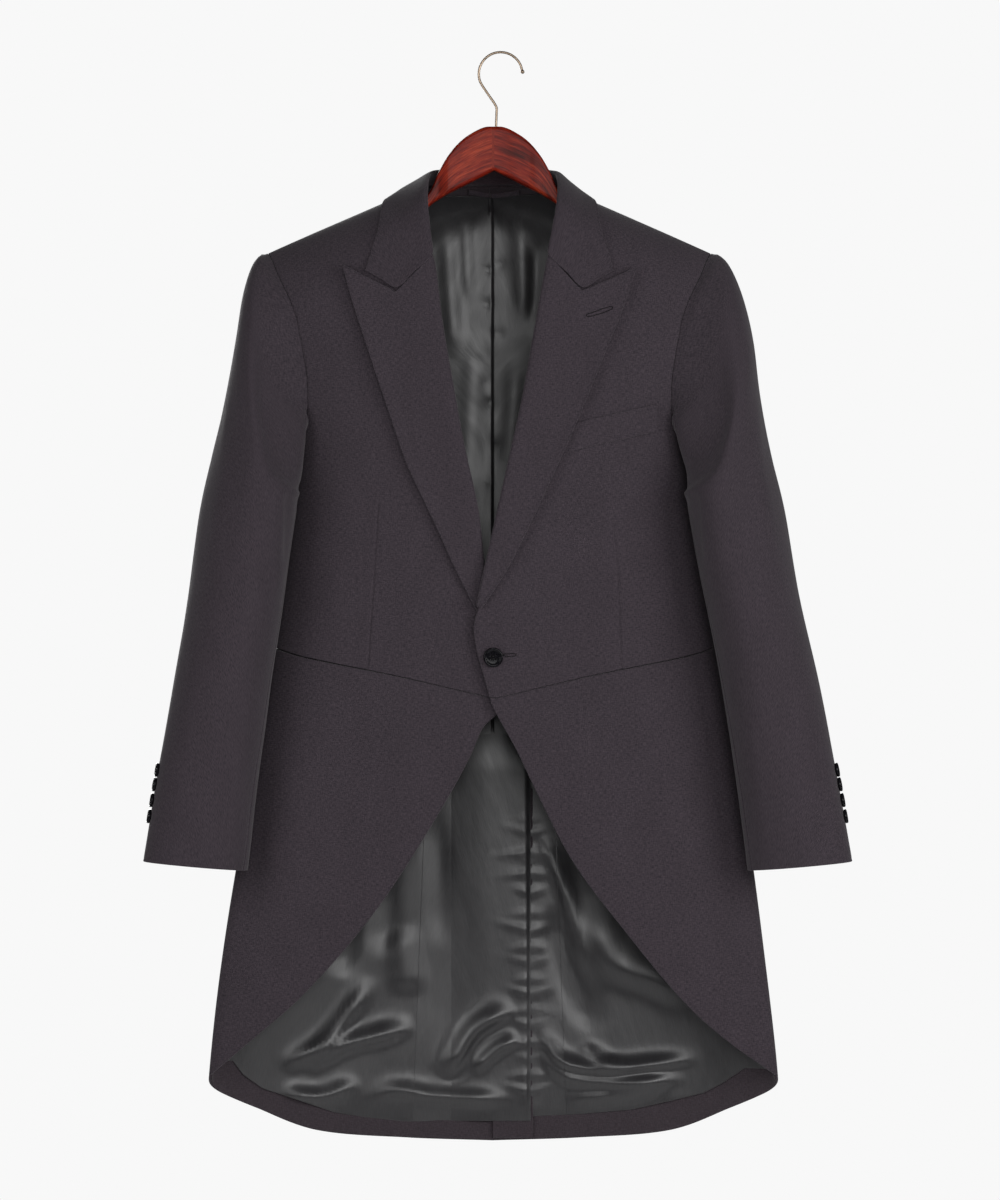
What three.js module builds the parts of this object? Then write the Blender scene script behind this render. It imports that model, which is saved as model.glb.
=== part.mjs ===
// A one-button morning coat with peak lapels, hanging on a wooden hanger with a wire hook.
// Millimetres, +Z up. The front of the coat faces -Y, and the wearer's left side is +X.
// Inside this file heights run up from the lowest point of the hem and x from the middle of the
// shoulders. The whole group is then moved so that the crown of the hook is the origin.
import * as THREE from "three";

// ---- driving sizes

const clothWall = 2; // wool with its canvas and seam allowances
const liningWall = 1;
const facingWall = 1.4;
const seamGap = 0.3; // between two pieces that are sewn together
const layerGap = 0.5; // between a piece and what lies on it

const hookCrown = { x: 11.6, height: 1145.1 }; // inside of the wire where it rides on a rail

const shoulder = { neckX: 108, neckHeight: 990, slope: 0.43, rounding: 75 };
const trunkTop = 850; // above this the sections stay alike and only the shoulders close them
const trunkMiddleY = 8;
const sectionPower = 2.4; // 2 is an ellipse, more is squarer

// Sections of the trunk from the hem up: width and depth to each side of its middle.
const trunkSections = [
  { height: 0, halfWidth: 300, front: 33, back: 40, middleX: 4 },
  { height: 70, halfWidth: 299, front: 34, back: 41, middleX: 4 },
  { height: 206, halfWidth: 284, front: 38, back: 43, middleX: 4 },
  { height: 361, halfWidth: 261, front: 42, back: 44, middleX: 6 },
  { height: 519, halfWidth: 233, front: 46, back: 46, middleX: 5.5 },
  { height: 642, halfWidth: 216, front: 56, back: 56, middleX: 4.5 },
  { height: 735, halfWidth: 207, front: 66, back: 66, middleX: 1 },
  { height: 800, halfWidth: 226, front: 68, back: 68, middleX: 0 },
  { height: trunkTop, halfWidth: 250, front: 66, back: 66, middleX: 0 },
];

// The seam that joins the body to the skirts, and the hem, by the angle round the trunk from its front.
const waistSeam = [
  { angle: 0, height: 471 },
  { angle: 31, height: 499 },
  { angle: 65, height: 518 },
  { angle: 90, height: 524 },
  { angle: 140, height: 532 },
  { angle: 160, height: 532 },
  { angle: 180, height: 532 },
];
const hem = [
  { angle: 84, height: 72 },
  { angle: 114, height: 50 },
  { angle: 128, height: 35 },
  { angle: 144, height: 11 },
  { angle: 163, height: 3 },
  { angle: 180, height: 0 },
];

const sideSeamAngle = 80; // forepart to side body
const tailSeam = { waistX: 62, hemX: 82 }; // where the tail meets the skirt, out from the middle

// The armhole from the shoulder tip down the front, under the arm and up the back.
const armhole = [
  { face: "front", x: 233, height: 935 },
  { face: "front", x: 221, height: 911 },
  { face: "front", x: 208, height: 884 },
  { face: "front", x: 199, height: 853 },
  { face: "front", x: 193, height: 820 },
  { face: "front", x: 190, height: 788 },
  { face: "front", x: 194, height: 757 },
  { face: "side", x: 0, height: 735 },
  { face: "back", x: 197, height: 760 },
  { face: "back", x: 192, height: 795 },
  { face: "back", x: 195, height: 830 },
  { face: "back", x: 203, height: 865 },
  { face: "back", x: 218, height: 905 },
  { face: "back", x: 233, height: 935 },
];
const armholeGap = 0.9; // from the armhole's edge to the sleeve
const armholeMiddle = 838; // height of the middle of the opening
const underArm = 90; // the angle of the armhole's lowest points
const degreeWidth = 2.6; // millimetres of cloth for each degree near the side
const backSeamOnArmhole = 0.66; // share of the way round the armhole
const sideBackSeam = [[172, 745], [134, 680], [92, 605], [66, 553]];

// Rows of the nets, so that neighbours share them: down the armhole, closer where the shoulder is round,
// down the seam below it, and down the skirt with a row where the lining meets the hem's facing.
const shares = (values) => values.map((value) => value / values[values.length - 1]);
const netRows = {
  frontHole: shares([0, 0.5, 1, 1.5, 2, 3, 4, 5, 6, 7, 8]),
  backHole: shares([0, 0.25, 0.6, 1, 1.5, 2, 3, 4, 5, 6]),
  body: shares([0, 1, 2, 3, 4]),
  skirt: shares([0, 1.25, 2.5, 3.75, 5, 6.25, 7.5, 8.75, 9.5, 10]),
};
const netColumns = { forepart: 8, sideBody: 6, back: 8, skirt: 12 };
const lapelNet = { rows: 11, columns: 7 };
const collarSteps = 26; // from one end of the collar to the other

// The neckline at the shoulder seams and along the back.
const centreSeamX = 3;
const neckPoint = { right: -74, left: 82 };
const backNeck = {
  right: [[centreSeamX, 1011], [-46, 1009.6], [neckPoint.right, 1004.6]],
  left: [[centreSeamX, 1011], [54, 1009.6], [neckPoint.left, 1001.2]],
};

// Rings of the sleeve from near the armhole to the cuff: the outer and inner points of each, the depth
// to each side of its middle, the turn of its section, how much further out the +X sleeve hangs, and
// how far its front hangs in over the body.
const ringColumns = [
  "outX", "outHeight", "inX", "inHeight", "middleY", "halfDepth", "turn", "splay", "drape",
];
const sleeveRings = [
  [247, 926, 216, 722, 4, 60, 0, 2, 20],
  [258, 893, 220, 706, 1, 66, 6, 6, 27],
  [266, 843, 217, 694, -5, 70, 12, 10, 26],
  [277, 782, 208, 686, -14, 72, 17, 7, 14],
  [291, 722, 200, 681, -22, 72, 20, 5, 6],
  [304, 662, 201, 664, -27, 70, 20, 6, 0],
  [315, 575, 212, 588, -30, 65, 18, 9, 0],
  [330, 484, 226, 494, -33, 57, 15, 14, 0],
  [345, 396, 239, 400, -37, 47, 12, 16, 0],
  [361, 299, 252, 289, -40, 38, 10, 17, 0],
].map((row) => Object.fromEntries(row.map((value, i) => [ringColumns[i], value])));
const hindSeam = -16; // degrees round the sleeve from its outer point towards the front
const foreSeam = 150;

// Front edges. Each outline has its own few points, as x and height.
const foreparts = {
  right: {
    inner: [
      [-74, 1004.6], [-71, 980], [-66, 934], [-57, 890], [-45, 820], [-30, 734], [-15, 664],
      [-5, 610], [10, 560], [19, 512], [20, 474],
    ],
    lap: 0,
  },
  left: {
    inner: [
      [82, 1001.2], [77, 980], [68, 934], [58, 890], [44, 820], [28, 734], [15, 671],
      [3, 620], [-11, 566], [-16.5, 544], [-14, 522], [-6, 492], [0, 472],
    ],
    lap: 8,
  },
};
const lapels = {
  right: {
    fold: [[-58.5, 931], [-55, 915], [-49, 865], [-38, 800], [-26, 734], [-11, 664], [-5, 610], [0, 562]],
    edge: [
      [-152, 920], [-142, 883], [-124, 827], [-106, 774], [-86, 715], [-60, 659], [-35, 603], [-12, 557],
    ],
    top: [[-58.5, 931], [-97, 892], [-152, 920]],
  },
  left: {
    fold: [[60.5, 931], [53, 891], [44, 840], [32, 774], [20, 720], [9, 671], [-4, 613], [-14.5, 566]],
    edge: [[152, 917], [138, 874], [121, 832], [90, 756], [54, 676], [36, 638], [19, 605], [-8, 563]],
    top: [[60.5, 931], [96, 893], [152, 917]],
  },
};
const lapZone = { from: 8, to: 80, fadeFrom: 640, fadeTo: 760 };
const cutaway = {
  right: [
    [20, 471], [8, 452], [-6, 439], [-20, 408], [-52, 350],
    [-120, 245], [-197, 156], [-246, 113], [-293, 73],
  ],
  left: [[0, 470], [4, 459], [28, 415], [47, 375], [87, 298], [140, 227], [204, 150], [247, 111], [300, 73]],
};
const breastWelt = {
  upper: [[91, 756], [175, 776]],
  lower: [[75, 724], [174, 747]],
  thick: 1.6,
};
// The lift of what lies inside is measured from the outer face of the back, so it is less than none.
const vent = { height: 378, slant: 6, overlap: 43, hemHeight: 3, lift: -4.2, thick: 3 };

// Self cloth inside the neck with the loop that lies on it.
const facingColumns = 3; // of the back's net, out to the neck point
const loop = {
  upper: [[-24, 1009], [centreSeamX, 1005.5], [33, 1008.8]],
  lower: [[-24, 1004], [centreSeamX, 1000.5], [33, 1003.8]],
  lift: -5.6,
  thick: 1.2,
};

// The collar at six places from the middle of the back to its front end. The foot is sewn to the neckline,
// the fold is its top, and its fall lies on the coat with a corner halfway and an outer edge. The neck
// hangs a little to the +X side of the shoulders, by the shift.
const collarStations = [
  {
    shift: 4,
    foot: { face: "back", x: 0, height: 1011.8, lift: -2 },
    fold: { x: 0, y: 62, height: 1027 },
    middle: { face: "back", x: 0, height: 1006, lift: 6 },
    edge: { face: "back", x: 0, height: 984, lift: 3.4 },
  },
  {
    shift: 4,
    foot: { face: "back", x: 49, height: 1010.6, lift: -2 },
    fold: { x: 52, y: 42, height: 1024 },
    middle: { face: "back", x: 66, height: 1001, lift: 6 },
    edge: { face: "back", x: 74, height: 982, lift: 3.4 },
  },
  {
    shift: 4,
    foot: { x: 64, y: 23, height: 1008.4 },
    fold: { x: 68, y: 25, height: 1019 },
    middle: { face: "back", x: 83, height: 993.5, lift: 6 },
    edge: { face: "back", x: 97, height: 988, lift: 4.2 },
  },
  {
    shift: 4,
    foot: { face: "front", x: 77, height: 1003, lift: -1.4 },
    fold: { x: 74.5, y: 6, height: 1015 },
    middle: { face: "front", x: 92, height: 996, lift: 5.4 },
    edge: { face: "front", x: 110, height: 985.5, lift: 4.2 },
  },
  {
    shift: 3,
    foot: { face: "front", x: 71.6, height: 982, lift: -2 },
    fold: { face: "front", x: 65, height: 986, lift: 8 },
    middle: { face: "front", x: 93, height: 968, lift: 4.6 },
    edge: { face: "front", x: 116, height: 956, lift: 3.4 },
  },
  {
    shift: 1,
    foot: { face: "front", x: 65.6, height: 936, lift: -2 },
    fold: { face: "front", x: 59, height: 933.5, lift: 5.5 },
    middle: { face: "front", x: 96.8, height: 896.3, lift: 4.6 },
    edge: { face: "front", x: 129, height: 914, lift: 4.6 },
  },
];
const collarRoll = 3.2; // half the width of the fold

// The seat is how far a button stands off the cloth at its place.
const frontButton = { x: 4, height: 512, radius: 10.25, thick: 4, seat: 0.5, segments: 24 };
const cuffButton = { radius: 7.4, thick: 3.4, seat: -0.25, segments: 10 };
const cuffRow = { count: 4, firstHeight: 394, pitch: 14.4, angle: -3 };
// From the middle of a button's back round its rim to the dish, as shares of its radius and thickness.
const buttonProfile = [[0, 0], [0.86, 0], [1, 0.45], [0.93, 1], [0.72, 1], [0.6, 0.72], [0, 0.66]];

const hanger = { middleX: 5, middleY: 4, sectionSides: 12 };
// The hanger's arm outwards from its middle: its top and bottom, and half its depth.
const hangerSections = [
  { out: 0, top: 1068, bottom: 1022, halfDepth: 8 },
  { out: 10, top: 1067.5, bottom: 1017, halfDepth: 8 },
  { out: 22, top: 1062, bottom: 1011, halfDepth: 8.5 },
  { out: 36, top: 1052, bottom: 1004, halfDepth: 9 },
  { out: 48, top: 1038, bottom: 998, halfDepth: 9.5 },
  { out: 58, top: 1021, bottom: 992, halfDepth: 8.5 },
  { out: 64, top: 1007, bottom: 988, halfDepth: 8.5 },
  { out: 70, top: 997, bottom: 983, halfDepth: 8.5 },
  { out: 80, top: 991.8, bottom: 975, halfDepth: 10 },
  { out: 112, top: 981.3, bottom: 957, halfDepth: 12 },
  { out: 152, top: 964.8, bottom: 939, halfDepth: 14 },
  { out: 192, top: 947.3, bottom: 920, halfDepth: 15.5 },
  { out: 208, top: 936.8, bottom: 917, halfDepth: 15 },
];
const hook = {
  wireRadius: 1.3,
  wireSides: 8,
  bendRadius: 22.9,
  bendSteps: 22,
  tipAngle: 10,
  heelAngle: 213,
  ballRadius: 2.1,
  stemX: 1.5, // from the middle of the hanger
  stemHeight: 23,
  crankShares: [0.45, 0.88], // bends of the wire on its way from the end of the hoop to the stem
  stemBends: [2, 8], // below the stem's top, where the wire stands a little aside
  stemAside: 0.8,
  ballShares: [0.15, 0.75, 1, 0.9], // radii of the ball at the tip, outermost first
  ballStep: 0.6,
  seat: -0.4, // of the stem's foot on the hanger's crest
};

// ---- colours

const material = (color, roughness, metalness = 0) =>
  new THREE.MeshStandardMaterial({ color, roughness, metalness, side: THREE.DoubleSide });
const wool = material("#3c363b", 0.92);
const satin = material("#454446", 0.4);
const horn = material("#0b0b0c", 0.12);
const mahogany = material("#5e1a10", 0.2);
const nickel = material("#b9b2a4", 0.25, 1);

// ---- tables and curves

const { lerp, smoothstep, degToRad, radToDeg, clamp } = THREE.MathUtils;
const vector = (x, y, z) => new THREE.Vector3(x, y, z);

// A column of a table at a place along another column, through a smooth curve.
function sample(rows, by, column, at) {
  const last = rows.length - 1;
  if (at <= rows[0][by]) return rows[0][column];
  if (at >= rows[last][by]) return rows[last][column];
  const i = rows.findIndex((row) => row[by] >= at) - 1;
  const slope = (k) => {
    const before = rows[Math.max(k - 1, 0)];
    const after = rows[Math.min(k + 1, last)];
    return (after[column] - before[column]) / (after[by] - before[by]);
  };
  const width = rows[i + 1][by] - rows[i][by];
  const t = (at - rows[i][by]) / width;
  const rise = rows[i + 1][column] - rows[i][column];
  const [leave, arrive] = [slope(i) * width - rise, slope(i + 1) * width - rise];
  return rows[i][column] + rise * t + t * (1 - t) * (leave * (1 - t) - arrive * t);
}

// A smooth curve through points, each an array of numbers, as a function of the share of its length.
function curveThrough(points, sharp = false) {
  const spots = points.map(([a, b, c = 0]) => vector(a, b, c));
  const path = sharp ? new THREE.CurvePath() : new THREE.CatmullRomCurve3(spots, false, "centripetal");
  if (sharp) {
    spots.slice(1).forEach((spot, i) => path.add(new THREE.LineCurve3(spots[i], spot)));
  }
  return (share) => {
    const spot = path.getPointAt(clamp(share, 0, 1));
    return [spot.x, spot.y, spot.z];
  };
}

const partOf = (curve, from, to) => (share) => curve(lerp(from, to, share));

const even = (count) => Array.from({ length: count + 1 }, (_, i) => i / count);

// A net of points between four sides, each a function of the share along it, at the given shares.
function net({ top, bottom, start, end }, downs, acrosses) {
  const mix = (a, b, share) => a.map((value, i) => lerp(value, b[i], share));
  const corners = [top(0), top(1), bottom(0), bottom(1)];
  return downs.map((down) =>
    acrosses.map((across) => {
      const ruled = mix(top(across), bottom(across), down);
      const crossed = mix(start(down), end(down), across);
      const flat = mix(mix(corners[0], corners[1], across), mix(corners[2], corners[3], across), down);
      return ruled.map((value, i) => value + crossed[i] - flat[i]);
    }),
  );
}

// ---- the trunk's form, by the angle round it in degrees and the rise up its cloth

const shoulderHeight = (x) => shoulder.neckHeight - shoulder.slope * (Math.abs(x) - shoulder.neckX);

function trunkSection(rise) {
  const at = Math.min(rise, trunkTop);
  const column = (name) => sample(trunkSections, "height", name, at);
  return {
    halfWidth: column("halfWidth"),
    front: column("front"),
    back: column("back"),
    middleX: column("middleX"),
  };
}

function trunkPoint([angle, rise]) {
  const section = trunkSection(rise);
  const across = Math.sin(degToRad(angle));
  const ahead = Math.cos(degToRad(angle));
  const reach = (Math.abs(across) ** sectionPower + Math.abs(ahead) ** sectionPower) ** (-1 / sectionPower);
  const x = section.middleX + section.halfWidth * across * reach;
  const depth = ahead > 0 ? section.front : section.back;
  const start = shoulderHeight(x) - shoulder.rounding;
  const over = Math.max(rise - start, 0) / shoulder.rounding;
  const height = Math.min(rise, start) + shoulder.rounding * Math.sin(over);
  return vector(x, trunkMiddleY - depth * ahead * reach * Math.cos(over), height);
}

// Where a point seen from the front, or through to the back, lies on that form. Angles run on past 180
// degrees for a piece that starts on the given side and crosses the middle of the back.
function onTrunk(x, height, face = "front", sign = Math.sign(x)) {
  const start = shoulderHeight(x) - shoulder.rounding;
  const over = Math.asin(clamp((height - start) / shoulder.rounding, 0, 1));
  const rise = Math.min(height, start) + shoulder.rounding * over;
  const section = trunkSection(rise);
  const across = clamp((x - section.middleX) / section.halfWidth, -0.9999, 0.9999);
  const ahead = (1 - Math.abs(across) ** sectionPower) ** (1 / sectionPower);
  const angle = radToDeg(Math.atan2(across, face === "front" ? ahead : -ahead));
  return [face === "back" && angle * sign < 0 ? angle + sign * 360 : angle, rise];
}

// The outward direction of a surface that is given as a function of two numbers.
function normalOf(surface, [u, v], step) {
  const along = surface([u + step, v]).sub(surface([u - step, v]));
  const down = surface([u, v - step]).sub(surface([u, v + step]));
  return down.cross(along).normalize();
}

const trunkNormal = (spot) => normalOf(trunkPoint, spot, 0.05);

function raised(spot, lift) {
  return trunkPoint(spot).addScaledVector(trunkNormal(spot), lift);
}

// ---- walls of cloth

// Draws the edge of a net in by half a seam's gap.
function drawIn(grid) {
  const pull = (spot, next) => spot.clone().lerp(next, seamGap / 2 / spot.distanceTo(next));
  const rows = grid.map((row) => {
    const inside = row.slice();
    inside[0] = pull(row[0], row[1]);
    inside[row.length - 1] = pull(row[row.length - 1], row[row.length - 2]);
    return inside;
  });
  const last = rows.length - 1;
  const first = rows[0].map((spot, i) => pull(spot, rows[1][i]));
  const end = rows[last].map((spot, i) => pull(spot, rows[last - 1][i]));
  return [first, ...rows.slice(1, last), end];
}

// A closed wall between two nets of points with the same rows and columns.
function wallBetween(outer, inner) {
  const rows = outer.length;
  const columns = outer[0].length;
  const corners = [...outer.flat(), ...inner.flat()];
  const at = (row, column, side) => (side * rows + row) * columns + column;
  const faces = [];
  const quad = (a, b, c, d) => faces.push(a, b, c, a, c, d);
  for (let row = 0; row < rows - 1; row += 1) {
    for (let column = 0; column < columns - 1; column += 1) {
      quad(at(row, column, 0), at(row + 1, column, 0), at(row + 1, column + 1, 0), at(row, column + 1, 0));
      quad(at(row, column, 1), at(row, column + 1, 1), at(row + 1, column + 1, 1), at(row + 1, column, 1));
    }
  }
  const rim = [];
  for (let column = 0; column < columns - 1; column += 1) rim.push([0, column]);
  for (let row = 0; row < rows - 1; row += 1) rim.push([row, columns - 1]);
  for (let column = columns - 1; column > 0; column -= 1) rim.push([rows - 1, column]);
  for (let row = rows - 1; row > 0; row -= 1) rim.push([row, 0]);
  rim.forEach(([row, column], i) => {
    const [nextRow, nextColumn] = rim[(i + 1) % rim.length];
    const outerEdge = [at(row, column, 0), at(nextRow, nextColumn, 0)];
    const innerEdge = [at(nextRow, nextColumn, 1), at(row, column, 1)];
    const around = [...outerEdge, ...innerEdge];
    // Both pieces at a seam split its quads along the same diagonal.
    if (nextRow < row || nextColumn < column) around.push(around.shift());
    quad(...around);
  });
  return solidFrom(corners, faces);
}

// A closed solid of corners and faces, turned so that its faces look outwards.
function solidFrom(corners, faces) {
  let volume = 0;
  for (let i = 0; i < faces.length; i += 3) {
    const [a, b, c] = faces.slice(i, i + 3).map((corner) => corners[corner]);
    volume += a.dot(b.clone().cross(c));
  }
  const geometry = new THREE.BufferGeometry().setFromPoints(corners);
  geometry.setIndex(volume < 0 ? faces.reverse() : faces);
  geometry.computeVertexNormals();
  return geometry;
}

// A wall on a surface, over a net of its numbers. Lift is how far its outer face stands off.
function clothOn(surface, normal, grid, { lift = 0, thick = clothWall } = {}) {
  const liftAt = typeof lift === "function" ? lift : () => lift;
  const layer = (depth) =>
    grid.map((row) => row.map((spot) => surface(spot).addScaledVector(normal(spot), liftAt(spot) - depth)));
  return wallBetween(drawIn(layer(0)), drawIn(layer(thick)));
}

const coat = new THREE.Group();

function addPiece(name, geometry, finish) {
  const piece = new THREE.Mesh(geometry, finish);
  piece.name = name;
  coat.add(piece);
  return piece;
}

// ---- seams of the trunk

const sideOf = { right: -1, left: 1 };
const waistAt = (angle) => sample(waistSeam, "angle", "height", Math.abs(angle));
const hemAt = (angle) => sample(hem, "angle", "height", Math.abs(angle));
const alongLevel = (from, to, heightAt) => (share) => {
  const angle = lerp(from, to, share);
  return [angle, heightAt(angle)];
};
const seen = (outline, face, side) => (share) => {
  const [x, height] = outline(share);
  return onTrunk(x, height, face, sideOf[side]);
};

function armholeOf(sign) {
  const spots = armhole.map(({ face, x, height }) =>
    face === "side" ? [sign * underArm, height] : onTrunk(sign * x, height, face),
  );
  const loop = new THREE.CatmullRomCurve3(
    spots.map(([angle, rise]) => vector(((angle * sign + 360) % 360) * degreeWidth, rise, 0)),
    false,
    "centripetal",
  );
  return (share) => {
    const spot = loop.getPointAt(clamp(share, 0, 1));
    return [(sign * spot.x) / degreeWidth, spot.y];
  };
}

// The share of the way round the armhole at which the side seam leaves it.
function sideSeamShare(sign) {
  const hole = armholeOf(sign);
  let [low, high] = [0.3, 0.5];
  while (high - low > 1e-5) {
    const middle = (low + high) / 2;
    if (hole(middle)[0] * sign < sideSeamAngle) low = middle;
    else high = middle;
  }
  return low;
}

// At the armhole both walls are cut straight towards the middle of the opening.
function armholeDirection(place) {
  return vector(0, place.y - trunkMiddleY, place.z - armholeMiddle).normalize();
}

// ---- pieces of the trunk, each a net in angle and rise

const liningDepth = clothWall + layerGap; // from the outer face of the cloth to the lining

// The left front laps over the right one, and stands off by that lap round the button.
function lapLift(side, spot) {
  if (Math.abs(spot[0]) > 90) return 0;
  const place = trunkPoint(spot);
  const near = 1 - smoothstep(place.x, lapZone.from, lapZone.to);
  const low = 1 - smoothstep(place.z, lapZone.fadeFrom, lapZone.fadeTo);
  return foreparts[side].lap * near * low;
}

function sideSeam(side) {
  const sign = sideOf[side];
  const top = armholeOf(sign)(sideSeamShare(sign))[1];
  return (share) => [sign * sideSeamAngle, lerp(top, waistAt(sideSeamAngle), share)];
}

const backSeam = (side) => {
  const sign = sideOf[side];
  const [angle, rise] = armholeOf(sign)(backSeamOnArmhole);
  const start = trunkPoint([angle, rise]);
  const below = sideBackSeam.map(([x, height]) => [sign * x, height]);
  return seen(curveThrough([[start.x, start.z], ...below, tailEnd(side, "waistX", waistAt)]), "back", side);
};

// An end of the seam between tail and skirt, at a place out from the middle on the waist seam or hem.
function tailEnd(side, column, heightAt) {
  const x = sideOf[side] * tailSeam[column];
  const [angle] = onTrunk(x, heightAt(180), "back", sideOf[side]);
  return [x, heightAt(angle)];
}
const tailLine = (side) =>
  seen(curveThrough([tailEnd(side, "waistX", waistAt), tailEnd(side, "hemX", hemAt)]), "back", side);

// Two curves in turn, the first over the given share of the rows.
const joined = (first, second, share) => (down) =>
  down <= share ? first(down / share) : second((down - share) / (1 - share));

// Two lists of shares in turn in the same way.
const joinedRows = (first, second, share) => [
  ...first.map((down) => down * share),
  ...second.slice(1).map((down) => share + down * (1 - share)),
];

function shoulderSeam(side, face) {
  const neck = neckPoint[side];
  return (share) => {
    const x = lerp(neck, sideOf[side] * armhole[0].x, share);
    return onTrunk(x, shoulderHeight(x) - 1e-6, face, sideOf[side]);
  };
}

// Cuts the wall's rim on the armhole straight, for the given rows of a net's first row or last column.
function trunkDirection(grid, onArmhole) {
  const cut = new Set();
  grid.forEach((row, r) => row.forEach((spot, c) => onArmhole(r, c, row.length - 1) && cut.add(spot)));
  return (spot) => (cut.has(spot) ? armholeDirection(trunkPoint(spot)) : trunkNormal(spot));
}

function addForepart(side) {
  const sign = sideOf[side];
  const hole = armholeOf(sign);
  const seamShare = sideSeamShare(sign);
  const holePart = 0.55;
  const inner = seen(curveThrough(foreparts[side].inner), "front");
  const [waistAngle] = inner(1);
  const sides = {
    start: inner,
    end: joined(
      partOf(hole, 0, seamShare),
      sideSeam(side),
      holePart,
    ),
    top: shoulderSeam(side, "front"),
    bottom: alongLevel(waistAngle, sign * sideSeamAngle, waistAt),
  };
  const rows = joinedRows(netRows.frontHole, netRows.body, holePart);
  const grid = net(sides, rows, even(netColumns.forepart));
  const holeRows = netRows.frontHole.length;
  const direction = trunkDirection(grid, (row, column, last) => column === last && row < holeRows);
  const lift = (spot) => lapLift(side, spot);
  addPiece(`forepart_${side}`, clothOn(trunkPoint, direction, grid, { lift }), wool);
}

function addSideBody(side) {
  const sign = sideOf[side];
  const hole = armholeOf(sign);
  const seam = backSeam(side);
  const sides = {
    top: partOf(hole, sideSeamShare(sign), backSeamOnArmhole),
    start: sideSeam(side),
    end: seam,
    bottom: alongLevel(sign * sideSeamAngle, seam(1)[0], waistAt),
  };
  const grid = net(sides, netRows.body, even(netColumns.sideBody));
  addPiece(`side_body_${side}`, clothOn(trunkPoint, trunkDirection(grid, (row) => row === 0), grid), wool);
}

function backNet(side) {
  const neckline = backNeck[side];
  const hole = armholeOf(sideOf[side]);
  const [holePart, bodyPart, neckPart] = [0.27, 0.4, 3 / netColumns.back];
  const seamLine = joined(backSeam(side), tailLine(side), bodyPart);
  const seamRows = joinedRows(netRows.body, netRows.skirt, bodyPart);
  const sides = {
    top: joined(seen(curveThrough(neckline), "back", side), shoulderSeam(side, "back"), neckPart),
    start: seen(curveThrough([neckline[0], [centreSeamX, 0]]), "back", side),
    end: joined(partOf(hole, 1, backSeamOnArmhole), seamLine, holePart),
    bottom: (share) => {
      const angle = lerp(onTrunk(centreSeamX, 0, "back", sideOf[side])[0], tailLine(side)(1)[0], share);
      return [angle, hemAt(angle)];
    },
  };
  return net(sides, joinedRows(netRows.backHole, seamRows, holePart), even(netColumns.back));
}

function skirtNet(side) {
  const edge = seen(curveThrough(cutaway[side]), "front");
  const tail = tailLine(side);
  const sides = {
    start: edge,
    end: tail,
    top: alongLevel(edge(0)[0], tail(0)[0], waistAt),
    bottom: alongLevel(edge(1)[0], tail(1)[0], hemAt),
  };
  return net(sides, netRows.skirt, even(netColumns.skirt));
}

// The back and skirt of a side with what lies inside them, which is made from the same points moved in.
function addBackAndSkirt(side) {
  const back = backNet(side);
  const skirt = skirtNet(side);
  const holeRows = netRows.backHole.length;
  const direction = trunkDirection(back, (row, column, last) => column === last && row < holeRows);
  addPiece(`back_${side}`, clothOn(trunkPoint, direction, back), wool);
  const lift = (spot) => lapLift(side, spot);
  addPiece(`skirt_${side}`, clothOn(trunkPoint, trunkNormal, skirt, { lift }), wool);

  const under = { lift: (spot) => lapLift(side, spot) - liningDepth, thick: liningWall };
  const band = { ...under, thick: facingWall };
  addPiece(`back_lining_${side}`, clothOn(trunkPoint, direction, back.slice(1, -1), under), satin);
  const lined = skirt.slice(0, -1).map((row) => row.slice(1));
  addPiece(`skirt_lining_${side}`, clothOn(trunkPoint, trunkNormal, lined, under), satin);
  const alongHem = [-2, -1].map((row) => [...skirt.at(row).slice(2), ...back.at(row).slice(0, -1).reverse()]);
  addPiece(`hem_facing_${side}`, clothOn(trunkPoint, trunkNormal, alongHem, band), wool);
  return back.slice(0, 2).map((row) => row.slice(0, facingColumns + 1));
}

// The facing inside the neck and the loop that lies on it.
function addNeckFacing(rightBand, leftBand) {
  const rows = rightBand.map((row, i) => {
    const right = row.map(([angle, rise]) => [angle + 360, rise]).reverse();
    return [...right.slice(0, -1), ...leftBand[i]];
  });
  const lift = -liningDepth;
  addPiece("neck_facing", clothOn(trunkPoint, trunkNormal, rows, { lift, thick: facingWall }), wool);
}

// ---- lapels, welt and vent

// A lapel stands off most at its fold and along its free edge.
const lapelLift = [
  { across: 0, lift: 6 },
  { across: 0.15, lift: 6 },
  { across: 0.5, lift: 5 },
  { across: 0.8, lift: 5.4 },
  { across: 1, lift: 8.5 },
];
const lapelSeat = 4.7; // lift of its lowest end

function addLapel(side) {
  const { fold, edge, top } = lapels[side];
  const sides = {
    start: curveThrough(fold),
    end: curveThrough(edge),
    top: curveThrough(top, true),
    bottom: curveThrough([fold[fold.length - 1], edge[edge.length - 1]], true),
  };
  const flat = net(sides, even(lapelNet.rows), even(lapelNet.columns));
  const lifts = new Map();
  const grid = flat.map((row, r) =>
    row.map(([x, height], c) => {
      const spot = onTrunk(x, height);
      const down = r / (flat.length - 1);
      const off = sample(lapelLift, "across", "lift", c / (row.length - 1));
      lifts.set(spot, lerp(off, lapelSeat, down ** 3) + lapLift(side, spot));
      return spot;
    }),
  );
  const lift = (spot) => lifts.get(spot);
  addPiece(`lapel_${side}`, clothOn(trunkPoint, trunkNormal, grid, { lift }), wool);
}

// The net of a strip between an upper and a lower edge.
function stripNet({ upper, lower }, rows, columns) {
  const sides = {
    top: curveThrough(upper),
    bottom: curveThrough(lower),
    start: curveThrough([upper[0], lower[0]]),
    end: curveThrough([upper.at(-1), lower.at(-1)]),
  };
  return net(sides, even(rows), even(columns));
}

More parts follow.
